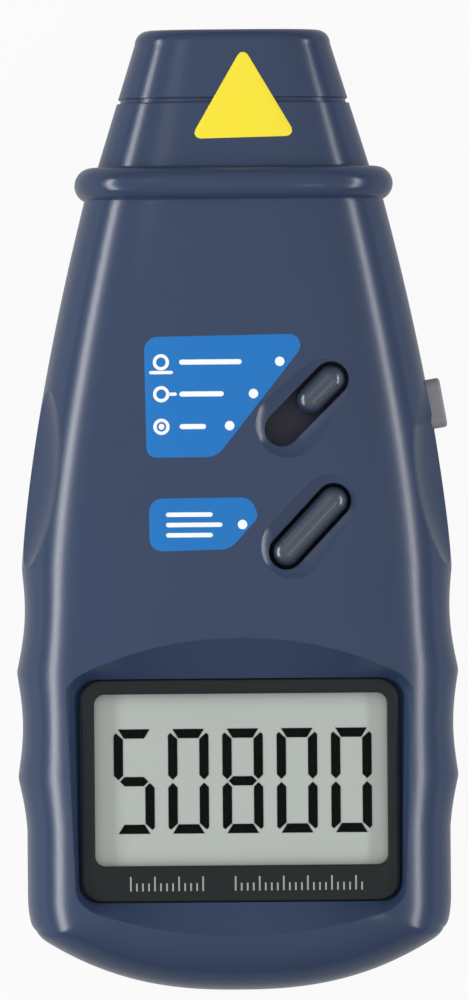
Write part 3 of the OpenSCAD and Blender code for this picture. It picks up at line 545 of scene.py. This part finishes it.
def back_shell():
    """Back half: outer skin, hollowed, with the battery bay, the door's opening and the screw holes."""
    cells = np.array([box(f"battery_cell_{i}") for i in range(1, 5)])
    contacts = box("battery_plates")
    bay_hw = cells[:, 1, 0].max() + 0.25
    bay_low, bay_high = contacts[0][1], contacts[1][1]
    bay_top = cells[:, 1, 2].max() + GAP
    wall, bay_z, bay_floor = 1.5, 2.4, 1.5
    opening_hw, opening_y = bay_hw - 1.7, bay_high + 0.5
    door_t, channel_z = 2.4, door_high[2] + GAP
    sill_y, sill_hw = bottom_y + 8.5, bay_hw - 2
    screw_in, column_z, hole_top = 2.5, 2.8, 7.5
    shell = half_skin("back_shell", BACK, 0.6, 141)
    carve(shell, half_room("room", BACK, 0))
    bay = block("bay", (-bay_hw - wall, bay_low - wall, bay_z),
                (bay_hw + wall, bay_high + wall, bay_top + wall))
    sill = block("sill", (-sill_hw, sill_y, channel_z), (sill_hw, bay_low - 0.5, channel_z + wall))
    columns, holes = [], []
    for x in (screws_low[0] + screw_in, screws_high[0] - screw_in):
        at = (x, screws_high[1] - screw_in)
        columns.append(prism("column", turned(stadium(7.6, 7.5), at, 0), column_z, part_z))
        holes.append(prism("hole", turned(stadium(5.3, 5.2), at, 0), -1, hole_top))
    carve(shell, bay, sill, *columns, operation="UNION")
    return carve(
        shell, block("bay_room", (-bay_hw, bay_low, bay_floor), (bay_hw, bay_high, bay_top)),
        block("opening", (-opening_hw, bottom_y - 5, -1), (opening_hw, opening_y, channel_z)),
        block("channel", (-bay_hw, bottom_y - 5, door_t), (bay_hw, opening_y, channel_z)), *holes,
        tube("test_slot", test_rings([(-9, GAP), (9, GAP)])))


def door_shell():
    """Battery door: the back's own form inside the opening, a wider tongue above the lips, grip grooves."""
    hw, top = door_high[0], door_high[1]
    lip, door_t = 1.7, 2.7
    groove_r, groove_hl, groove_z, pitch = 0.8, 11, -0.2, 2.6
    door = half_skin("door_shell", BACK, 0.7, 121)
    outer = block("outer", (-hw + lip, bottom_y - 5, -1), (hw - lip, top, door_high[2]))
    tongue = block("tongue", (-hw, bottom_y - 5, door_t), (hw, top, door_high[2]))
    carve(outer, tongue, operation="UNION")
    carve(door, outer, operation="INTERSECT")
    grooves = []
    for i in range(6):
        y = top - 8 - i * pitch
        a = np.linspace(0, 2 * math.pi, 32, endpoint=False)
        ring = np.stack([0 * a, y + groove_r * np.cos(a), groove_z + groove_r * np.sin(a)], -1)
        grooves.append(tube("groove", [ring + (-groove_hl, 0, 0), ring + (groove_hl, 0, 0)]))
    return carve(door, *grooves)


def nose_ring(y, inset, count):
    """Whole superellipse section of the nose."""
    t = np.linspace(0, 2 * math.pi, count, endpoint=False)
    n = np.where(np.sin(t) >= 0, FRONT["n"], BACK["n"])
    h = np.where(np.sin(t) >= 0, depth(np.array(y), FRONT), depth(np.array(y), BACK)) - inset
    x = (half_width(np.array(y)) - inset) * np.sign(np.cos(t)) * np.abs(np.cos(t)) ** (2 / n)
    z = part_z + h * np.sign(np.sin(t)) * np.abs(np.sin(t)) ** (2 / n)
    return np.stack([x, np.full(count, y), z], -1)


def round_ring(y, r, count):
    t = np.linspace(0, 2 * math.pi, count, endpoint=False)
    return np.stack([r * np.cos(t), np.full(count, y), part_z + r * np.sin(t)], -1)


def nose_shell():
    """Nose cap: from the socket's floor over the rounded tip down to the groove, and back inside."""
    count, tip_r, socket_r, lip_r = 240, 2.2, 8.5, 0.7
    cap_y, groove_h, soft = tip_y - 11.4, 0.5, 0.15
    seat_y = window_high[1]
    rings = [round_ring(seat_y, socket_r, count), round_ring(tip_y - lip_r, socket_r, count)]
    for a in np.linspace(0, math.pi / 2, 6)[1:]:
        r = socket_r + lip_r * (1 - math.cos(a))
        rings.append(round_ring(tip_y - lip_r * (1 - math.sin(a)), r, count))
    face = nose_ring(tip_y - tip_r, tip_r, count) + (0, tip_r, 0)
    rings += [mixed(rings[-1], face, f) for f in np.linspace(0, 1, 9)[1:]]
    for a in np.linspace(math.pi / 2, 0, 12)[1:]:
        ring = nose_ring(tip_y - tip_r, tip_r * (1 - math.cos(a)), count)
        rings.append(ring + (0, tip_r * math.sin(a), 0))
    rings += [nose_ring(y, 0.0, count) for y in np.linspace(tip_y - tip_r, cap_y + soft, 24)[1:]]
    rings += [nose_ring(cap_y, soft, count), nose_ring(cap_y, groove_h, count)]
    rings += [nose_ring(case_top_y, groove_h, count)]
    inner_r = window_high[0] + soft
    rings += [round_ring(case_top_y, inner_r + 1, count), round_ring(case_top_y, inner_r, count),
              round_ring(seat_y, inner_r, count)]
    return hoop("nose_shell", rings)


# Display
def bezel_frame():
    """Bezel: a plate with a soft outer edge and a small bevel down to the window."""
    steps, edge_r, corner_r, view_r = 24, 0.3, 3.4, 1.7
    seat_gap, seat_r, seat_z = 0.3, 2.6, lens_high[2] + 0.02
    low, high = bezel_low[2], bezel_high[2]

    def outer(inset):
        w, h = bezel_size[:2] - 2 * inset
        return rounded_box(w, h, corner_r - inset, steps, (0, bezel_y))

    def inner(grow):
        return rounded_box(VIEW_W + 2 * grow, VIEW_H + 2 * grow, view_r + grow, steps, VIEW_AT)

    seat = rounded_box(lens_size[0] + seat_gap, lens_size[1] + seat_gap, seat_r, steps, (0, lens_y))
    rings = [level(outer(0), low), level(outer(0), high - edge_r)]
    for a in np.linspace(0, math.pi / 2, 5)[1:]:
        rings.append(level(outer(edge_r * (1 - math.cos(a))), high - edge_r + edge_r * math.sin(a)))
    rings += [level(inner(0.3), high), level(inner(0.08), high - 0.12), level(inner(0), high - 0.35)]
    rings += [level(inner(0), seat_z), level(seat, seat_z), level(seat, low)]
    return hoop("bezel_frame", rings)


def plates(name, polygons, low, high):
    """Thin flat prints, each a polygon with the same count of points."""
    polygons = np.asarray(polygons, float)
    shapes, count = polygons.shape[:2]
    lower = np.concatenate([polygons, np.full((shapes, count, 1), low)], -1)
    upper = np.concatenate([polygons, np.full((shapes, count, 1), high)], -1)
    points = np.concatenate([lower, upper], 1).reshape(-1, 3)
    i = np.arange(count)
    sides = np.stack([i, (i + 1) % count, count + (i + 1) % count, count + i], -1)
    start = np.arange(shapes) * 2 * count
    quads = (start[:, None, None] + sides).reshape(-1, 4).tolist()
    lids = (start[:, None] + i).tolist() + (start[:, None] + count + i).tolist()
    return solid(name, points, quads + lids)


SEGMENTS = {"5": "AFGCD", "0": "ABCDEF", "8": "ABCDEFG"}


def segment_shapes(w, h, thick, gap):
    """Seven bars of a digit as six-point polygons: the upper left, top and middle ones are drawn, and the
    others are their mirror images."""
    x, y = w / 2, h / 2
    cut, inner = 0.4, thick + gap * 0.6
    upper_left = np.array([(-x, gap + thick * 0.5), (-x + thick * 0.5, gap), (-x + thick, gap + thick * 0.5),
                           (-x + thick, y - inner), (-x + cut, y - cut - gap), (-x, y - cut * 2 - gap)])
    top = np.array([(-x + cut + gap * 1.4, y), (0, y), (x - cut - gap * 1.4, y), (x - inner, y - thick),
                    (0, y - thick), (-x + inner, y - thick)])
    end, corner, half = x - thick * 0.5 - gap, x - thick - gap, thick / 2
    middle = np.array([(-end, 0), (-corner, half), (corner, half),
                       (end, 0), (corner, -half), (-corner, -half)])
    flip_x, flip_y = np.array([-1, 1]), np.array([1, -1])
    return {"A": top, "D": top * flip_y, "F": upper_left, "B": upper_left * flip_x, "E": upper_left * flip_y,
            "C": upper_left * -1, "G": middle}


def lcd_digits():
    """Reading on the display, as thin bars on the glass."""
    shapes = segment_shapes(6.75, 17.4, 1.55, 0.24)
    first, pitch, y = -17.55, 9.03, VIEW_AT[1] - 0.25
    bars = [shapes[s] + (first + pitch * i, y) for i, digit in enumerate("50800") for s in SEGMENTS[digit]]
    return plates("lcd_digits", bars, lcd_high[2] + 0.01, lcd_high[2] + 0.05)


def bezel_ticks():
    """Fine scale ticks in two groups on the lower strip of the bezel."""
    foot = (bezel_low[1] + VIEW_AT[1] - VIEW_H / 2) / 2 - 1.2
    wide, long_tick, short_tick = 0.28, 2.4, 1.3
    ticks = []
    for start, count in ((-18.4, 13), (-1.0, 22)):
        for i in range(count):
            x = start + i
            tall = long_tick if i % 4 == 0 else short_tick
            ticks.append([(x, foot), (x + wide, foot), (x + wide, foot + tall), (x, foot + tall)])
    return plates("bezel_ticks", ticks, bezel_high[2] - 0.02, bezel_high[2] + 0.03)


# Printed films
def film(name, outline, lift, step=0.7, sink=0.12):
    """Thin film on the front: rings drawn from its middle, laid on the surface, closed underneath."""
    outline = denser(outline, step)
    centre = outline.mean(0)
    count, edge = 12, 0.6
    shares = np.concatenate([np.linspace(0.02, 0.985, count), [1.0]])
    upper = [centre + f * (outline - centre) for f in shares]
    lifts = [lift] * count + [lift * edge]
    rings = [level(p, front_z(p[:, 0], p[:, 1]) + l) for p, l in zip(upper, lifts)]
    rings += [level(p, front_z(p[:, 0], p[:, 1]) - sink) for p in upper[::-1]]
    return tube(name, rings)


MODE_LABEL = [(-15.4, 28.8, 2.2), (12.6, 29.2, 1.85), (-3.5, 8.8, 3.7), (-15.1, 8.8, 1.5)]
MEMORY_LABEL = [(-14.8, 2.0, 2.2), (2.2, 2.1, 2.4), (3.4, -1.2, 1.4), (-1.4, -6.5, 3.4), (-14.7, -6.8, 2.0)]
AIM_ARROW = [(1.5, 77.1, 0.95), (-7.4, 61.7, 0.95), (10.3, 62.1, 0.95)]


def dot(x, y, r, count=24):
    a = np.linspace(0, 2 * math.pi, count, endpoint=False)
    return np.stack([x + r * np.cos(a), y + r * np.sin(a)], -1)


def dash(x, y, l, w):
    return rounded_box(l, w, w / 2 - 0.01, 6, (x + l / 2, y))


def ring_mark(x, y, r, width, lift):
    """Round line on the front."""
    outer, inner = dot(x, y, r, 40), dot(x, y, r - width, 40)
    rings = [level(p, front_z(p[:, 0], p[:, 1]) + up)
             for p, up in ((inner, lift), (outer, lift), (outer, -lift), (inner, -lift))]
    return hoop("ring", rings)


def label_prints():
    """White marks on the blue labels: a dot for each switch place, a wheel sign and a bar beside it."""
    lift, line, dot_r, wheel_r = 0.1, 0.55, 0.8, 1.35
    wheel_x, bar_x, memory_x, memory_y = -12.6, -9.6, -12.0, -2.4
    rows = [(24.6, 10.4), (19.3, 7.4), (13.9, 4.4)]
    top_y, middle_y, low_y = [y for y, _ in rows]
    flat = [dot(x, y, dot_r) for x, y in ((7.1, 24.6), (2.7, 19.3), (-1.3, 14.0), (0.7, memory_y))]
    flat += [dash(bar_x, y, l, 0.85) for y, l in rows]
    flat += [dash(wheel_x - 2, top_y - 1.7, 4, line), dash(wheel_x + 1.1, middle_y, 1.5, line)]
    flat += [dot(wheel_x, low_y, 0.5)]
    flat += [dash(memory_x, memory_y + 1.7 * k, 9.4 - 1.6 * abs(k), 0.75) for k in (-1, 0, 1)]
    rings = [ring_mark(wheel_x, y, wheel_r, line, lift) for y, _ in rows]
    return fused("label_prints", *[film("mark", m, lift, 0.25) for m in flat], *rings)


# Moving pieces
def capsule(name, at, degrees, l, w, low, high, foot):
    """Bar button: a stadium whose upper part shrinks on an ellipse, over a straight foot."""
    steps = 32
    base = turned(stadium(l, w, steps), at, degrees)
    rings = [level(base, low), level(base, foot)]
    for a in np.linspace(0, math.pi / 2, 20)[1:-1]:
        inset = w / 2 * (1 - math.cos(a))
        outline = stadium(l - 2 * inset, max(w - 2 * inset, 0.05), steps)
        rings.append(level(turned(outline, at, degrees), foot + (high - foot) * math.sin(a)))
    return tube(name, rings)


def mode_cap():
    at = (knob_low[:2] + knob_high[:2]) / 2
    w, top, dome = SLOT_W - 2 * SLOT_GAP, knob_high[2], 2.3
    return capsule("mode_cap", at, MODE_TURN, KNOB_L, w, deck_z - 0.1, top, top - dome)


def mode_shutter():
    """Strip under the slot that moves with the knob, long enough to close the slot at either end."""
    a = math.radians(MODE_TURN)
    at = np.add(MODE_AT, KNOB_TRAVEL / 2 * np.array([math.cos(a), math.sin(a)]))
    strip = turned(stadium(SLOT_L + KNOB_TRAVEL + 1, SLOT_W + 1), at, MODE_TURN)
    return prism("mode_shutter", strip, deck_z - 0.3, deck_z - 0.1)


def memory_bar():
    l, w = SLOT_L - 2 * SLOT_GAP, SLOT_W - 2 * SLOT_GAP
    top, dome = bar_high[2], 2.2
    return capsule("memory_bar", MEMORY_AT, MEMORY_TURN, l, w, deck_z - 1.3, top, top - dome)


def test_key():
    """Side button: a rounded bar with a softened face, and its flange inside."""
    face = 2.3
    profile = [(-6.5, 1.2), (-5.3, 1.2), (-5.3, 0.0), (face - 0.5, 0.0), (face - 0.25, -0.07),
               (face - 0.07, -0.25), (face, -0.5), (face, -2.0)]
    return tube("test_key", test_rings(profile))


# Materials
def srgb(*rgb):
    """Linear colour of an 8-bit screen colour."""
    c = np.array(rgb) / 255
    return (*np.where(c <= 0.04045, c / 12.92, ((c + 0.055) / 1.055) ** 2.4), 1.0)


class Value:
    """A socket in a material's node tree; arithmetic on it adds Math nodes."""

    def __init__(self, tree, socket=None):
        self.tree = tree
        self.socket = socket

    def fill(self, node, sockets):
        """Sets a node's sockets to numbers, colours or links."""
        for key, value in sockets.items():
            if isinstance(value, Value):
                self.tree.links.new(value.socket, node.inputs[key])
            else:
                node.inputs[key].default_value = value

    def node(self, kind, settings=None, sockets=None, output=0):
        """Adds a node of any kind: its settings first, then its sockets; gives one of its outputs."""
        made = self.tree.nodes.new("ShaderNode" + kind)
        for key, value in (settings or {}).items():
            setattr(made, key, value)
        self.fill(made, sockets or {})
        return Value(self.tree, made.outputs[output])

    def math(self, operation, a, b):
        return self.node("Math", {"operation": operation}, {0: a, 1: b})

    def __add__(self, other):
        return self.math("ADD", self, other)

    def __radd__(self, other):
        return self.math("ADD", other, self)

    def __sub__(self, other):
        return self.math("SUBTRACT", self, other)

    def __rsub__(self, other):
        return self.math("SUBTRACT", other, self)

    def __mul__(self, other):
        return self.math("MULTIPLY", self, other)

    def __rmul__(self, other):
        return self.math("MULTIPLY", other, self)

    def __gt__(self, other):
        return self.math("GREATER_THAN", self, other)

    def noise(self, where, size, detail=2.0):
        """Cloudy noise with lumps of a size in millimetres."""
        return self.node("TexNoise", None, {"Vector": where, "Scale": 1 / (size * MM), "Detail": detail})

    def blend(self, factor, a, b):
        """Colour between two colours."""
        return self.node("Mix", {"data_type": "RGBA"}, {0: factor, 6: a, 7: b}, 2)


def shaded(colour, k):
    return (*[c * k for c in colour[:3]], 1.0)


GRAIN_ROUGH = 0.14
GRAIN_H = 0.02
CLOUD = 14.0


def finish(name, colour, rough, grain=0.5, bump=0.3, tone=0.06, edge=0.0, **sockets):
    """Plain finish: cloudy tone, grain that roughens it and dents it, and softened edges."""
    material = bpy.data.materials.new(name)
    material.use_nodes = True
    v = Value(material.node_tree)
    where = v.node("TexCoord", output="Object")
    lumps = v.noise(where, grain, 3.0)
    cloud = v.noise(where, CLOUD)
    base = v.blend(cloud, shaded(colour, 1 - tone), shaded(colour, 1 + tone))
    wired = {"Base Color": base, "Roughness": rough + (lumps - 0.5) * GRAIN_ROUGH}
    dent = {"Strength": bump, "Distance": GRAIN_H * MM, "Height": lumps}
    if edge:
        dent["Normal"] = v.node("Bevel", {"samples": 6}, {"Radius": edge * MM})
    wired["Normal"] = v.node("Bump", None, dent)
    wired |= {key.replace("_", " "): value for key, value in sockets.items()}
    v.fill(material.node_tree.nodes["Principled BSDF"], wired)
    return material


NAVY = srgb(45, 60, 87)
case_plastic = finish("case_plastic", NAVY, 0.22, grain=0.35, bump=0.2, tone=0.05, edge=0.3,
                      Specular_IOR_Level=0.38)
control_plastic = finish("control_plastic", srgb(40, 50, 68), 0.28, grain=0.4, bump=0.05, tone=0.05,
                         Specular_IOR_Level=0.9)
shutter_plastic = finish("shutter_plastic", srgb(66, 65, 80), 0.5, grain=0.4, bump=0.1, tone=0.05,
                         Specular_IOR_Level=0.2)
bezel_plastic = finish("bezel_plastic", srgb(25, 27, 28), 0.42, grain=0.3, bump=0.2, tone=0.05, edge=0.2,
                       Specular_IOR_Level=0.25)
lcd_glass = finish("lcd_glass", srgb(176, 182, 175), 0.5, grain=0.25, bump=0.03, tone=0.02)
lcd_ink = finish("lcd_ink", srgb(4, 5, 5), 0.8, grain=0.3, bump=0.05, Specular_IOR_Level=0.0)
blue_print = finish("blue_print", srgb(32, 113, 185), 0.45, grain=0.3, bump=0.12, tone=0.03,
                    Specular_IOR_Level=0.2)
yellow_print = finish("yellow_print", srgb(243, 223, 50), 0.45, grain=0.3, bump=0.1, tone=0.03,
                      Specular_IOR_Level=0.35)
white_print = finish("white_print", srgb(240, 242, 242), 0.5, grain=0.3, bump=0.05, tone=0.02)
grey_print = finish("grey_print", srgb(150, 152, 152), 0.5, grain=0.3, bump=0.05, tone=0.02)
button_grey = finish("button_grey", srgb(126, 127, 130), 0.45, grain=0.4, bump=0.15, tone=0.04, edge=0.2)
black_plastic = finish("black_plastic", srgb(34, 36, 38), 0.5, grain=0.5, bump=0.2)
pale_plastic = finish("pale_plastic", srgb(214, 208, 194), 0.45, grain=0.5, bump=0.15)
rubber = finish("rubber", srgb(66, 66, 70), 0.7, grain=0.6, bump=0.3)
laminate = finish("laminate", srgb(44, 104, 60), 0.4, grain=0.8, bump=0.2, tone=0.12)
bright_metal = finish("bright_metal", srgb(205, 208, 212), 0.28, grain=0.3, bump=0.1, tone=0.04,
                      Metallic=1.0)
brass = finish("brass", srgb(190, 150, 84), 0.3, grain=0.3, bump=0.1, tone=0.06, Metallic=1.0)
screw_steel = finish("screw_steel", srgb(150, 152, 156), 0.34, grain=0.3, bump=0.15, tone=0.06,
                     Metallic=1.0)
clear_plastic = finish("clear_plastic", srgb(90, 96, 94), 0.08, grain=0.6, bump=0.02, tone=0.01,
                       Alpha=0.02)
lens_glass = finish("lens_glass", srgb(200, 214, 220), 0.05, grain=0.6, bump=0.02, tone=0.01, Alpha=0.35)


def cell_jacket(name, bright_from, bright_to):
    """Printed cell sleeve: dark body with a copper band towards one end, in object Y."""
    material = bpy.data.materials.new(name)
    material.use_nodes = True
    v = Value(material.node_tree)
    where = v.node("TexCoord", output="Object")
    y = v.node("SeparateXYZ", None, {0: where}, "Y")
    band = (y > bright_from * MM) * (1 - (y > bright_to * MM))
    colour = v.blend(band, srgb(46, 48, 52), srgb(176, 118, 62))
    rough = 0.3 + v.noise(where, 0.8) * 0.15
    v.fill(material.node_tree.nodes["Principled BSDF"], {"Base Color": colour, "Roughness": rough})
    return material


# Pieces
FILM_H = 0.06
dress(front_shell(), case_plastic, "case", "case_plastic", "front_case")
dress(back_shell(), case_plastic, "case", "case_plastic", "back_case")
dress(door_shell(), case_plastic, "door", "case_plastic", "battery_door")
dress(nose_shell(), case_plastic, "case", "case_plastic", "nose_cap", sharp=30)
dress(bezel_frame(), bezel_plastic, "case", "bezel_plastic", "display_bezel", sharp=30)
dress(lcd_digits(), lcd_ink, "case", "lcd_glass", sharp=30)
dress(bezel_ticks(), grey_print, "case", "bezel_plastic", sharp=30)
dress(film("mode_label", rounded_outline(MODE_LABEL), FILM_H), blue_print, "case", "case_plastic", sharp=40)
dress(film("memory_label", rounded_outline(MEMORY_LABEL), FILM_H), blue_print, "case", "case_plastic",
      sharp=40)
dress(film("aim_arrow", rounded_outline(AIM_ARROW), FILM_H), yellow_print, "case", "case_plastic", sharp=40)
dress(label_prints(), white_print, "case", "case_plastic", sharp=40)
dress(mode_cap(), control_plastic, "mode_control", "control_plastic", "mode_knob", sharp=40)
dress(mode_shutter(), shutter_plastic, "mode_control", "control_plastic")
dress(memory_bar(), control_plastic, "memory_control", "control_plastic", "memory_button", sharp=40)
dress(test_key(), button_grey, "test_control", "button_grey", "test_button", sharp=40)

# Materials of the CAD nodes that stay
NODE_FINISH = {
    clear_plastic: ["display_lens"], lens_glass: ["nose_window", "receiver_lens"], lcd_glass: ["lcd_panel"],
    black_plastic: ["lcd_holder", "controller_chip", "mode_switch", "memory_switch", "test_switch",
                    "optics_block", "photo_sensor"],
    rubber: ["zebra_strips"], laminate: ["main_board"], pale_plastic: ["memory_plunger", "test_plunger"],
    case_plastic: ["mode_slider"],
    bright_metal: ["quartz_crystal", "optic_leads", "battery_springs", "battery_plates"],
    brass: ["laser_module"], screw_steel: ["case_screws", "board_screws"],
}
for material, names in NODE_FINISH.items():
    for name in names:
        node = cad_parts[name]
        node.data.materials.clear()
        node.data.materials.append(material)
BAND_FROM, BAND_TO = 1.2, 13
for i in range(1, 5):
    low, high = box(f"battery_cell_{i}")
    ends = (high[1] - BAND_TO, high[1] - BAND_FROM) if i % 2 else (low[1] + BAND_FROM, low[1] + BAND_TO)
    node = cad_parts[f"battery_cell_{i}"]
    node.data.materials.clear()
    node.data.materials.append(cell_jacket(f"cell_jacket_{i}", *ends))


# Studio
WHITE_TO_CAMERA = 0.93
WHITE_TO_REFLECTIONS = 0.1
FLOOR_TONE = (0.45, 0.45, 0.45, 1)
FLOOR_Z = -0.2
FLOOR_HALF = 4000.0
SKY_LOW = 0.2
SKY_RISE = 0.66
LAMP_SIZE = 0.12


def floor_material():
    """Pale floor: nearly white to the camera, less so in reflections, with some of the object's shadow."""
    material = bpy.data.materials.new("floor")
    material.use_nodes = True
    v = Value(material.node_tree)
    rays = ("Is Camera Ray", "Is Glossy Ray", "Is Transmission Ray")
    camera_ray, glossy, through = [v.node("LightPath", output=ray) for ray in rays]
    seen = camera_ray * WHITE_TO_CAMERA + (glossy + through) * WHITE_TO_REFLECTIONS
    plain = material.node_tree.nodes["Principled BSDF"]
    v.fill(plain, {"Base Color": FLOOR_TONE, "Roughness": 0.8})
    glow = v.node("Emission", None, {"Color": (1, 1, 1, 1), "Strength": 1.0})
    look = v.node("MixShader", None, {0: seen, 1: Value(v.tree, plain.outputs[0]), 2: glow})
    v.tree.links.new(look.socket, material.node_tree.nodes["Material Output"].inputs["Surface"])
    return material


def strip_light(name, at, size, power, aim=(0.0, 0.0, 0.02)):
    """Long soft box beside the object, turned to it."""
    data = bpy.data.lights.new(name, "AREA")
    data.shape = "RECTANGLE"
    data.size, data.size_y = size
    data.energy = power
    made = bpy.data.objects.new(name, data)
    made.location = at
    away = np.array(aim) - np.array(at)
    made.rotation_euler = (0.0, math.atan2(-away[0], -away[2]), 0.0)
    bpy.context.scene.collection.objects.link(made)
    return made


def lamp(name, at, power):
    """Small round lamp high above the object."""
    data = bpy.data.lights.new(name, "POINT")
    data.energy = power
    data.shadow_soft_size = LAMP_SIZE
    made = bpy.data.objects.new(name, data)
    made.location = at
    bpy.context.scene.collection.objects.link(made)
    return made


floor_corners = np.array([(-1, -1), (1, -1), (1, 1), (-1, 1)]) * FLOOR_HALF
floor = solid("floor", level(floor_corners, FLOOR_Z), [[0, 1, 2, 3]])
floor.data.materials.append(floor_material())

strip_light("left_strip", at=(-0.46, 0.0, 0.212), size=(0.076, 0.6), power=2.15)
strip_light("right_strip", at=(0.46, 0.0, 0.25), size=(0.05, 0.55), power=1.3)
lamp("upper_left_lamp", at=(-0.44, 0.41, 0.9), power=0.7)
lamp("lower_right_lamp", at=(0.36, -0.34, 0.9), power=1.1)

world = bpy.data.worlds.new("studio")
world.use_nodes = True
sky = Value(world.node_tree)
up = sky.node("SeparateXYZ", None, {0: sky.node("TexCoord", output="Generated")}, "Z")
strength = SKY_LOW + sky.math("MAXIMUM", up, 0.0) * SKY_RISE
sky.fill(world.node_tree.nodes["Background"], {"Color": (0.97, 0.98, 1.0, 1), "Strength": strength})
bpy.context.scene.world = world
bpy.context.scene.view_settings.view_transform = "Standard"

# Camera above the object, where one photo pixel is a known length on the parting plane
PHOTO_H = 1000
PIXEL = 0.167
PHOTO_MIDDLE = (-0.27, 2.03)
CAMERA_UP = 2500.0
CAMERA_LEAN = math.radians(1.0)
CAMERA_ROLL = math.radians(0.48)
camera_data = bpy.data.cameras.new("camera")
camera_data.sensor_width = 36.0
camera_data.lens = camera_data.sensor_width * CAMERA_UP / (PHOTO_H * PIXEL)
camera_data.clip_end = 20.0
camera = bpy.data.objects.new("camera", camera_data)
camera.location = ((PHOTO_MIDDLE[0] - CAMERA_UP * math.tan(CAMERA_LEAN)) * MM, PHOTO_MIDDLE[1] * MM,
                   (part_z + CAMERA_UP) * MM)
camera.rotation_euler = (0.0, -CAMERA_LEAN, -CAMERA_ROLL)
bpy.context.scene.collection.objects.link(camera)
bpy.context.scene.camera = camera
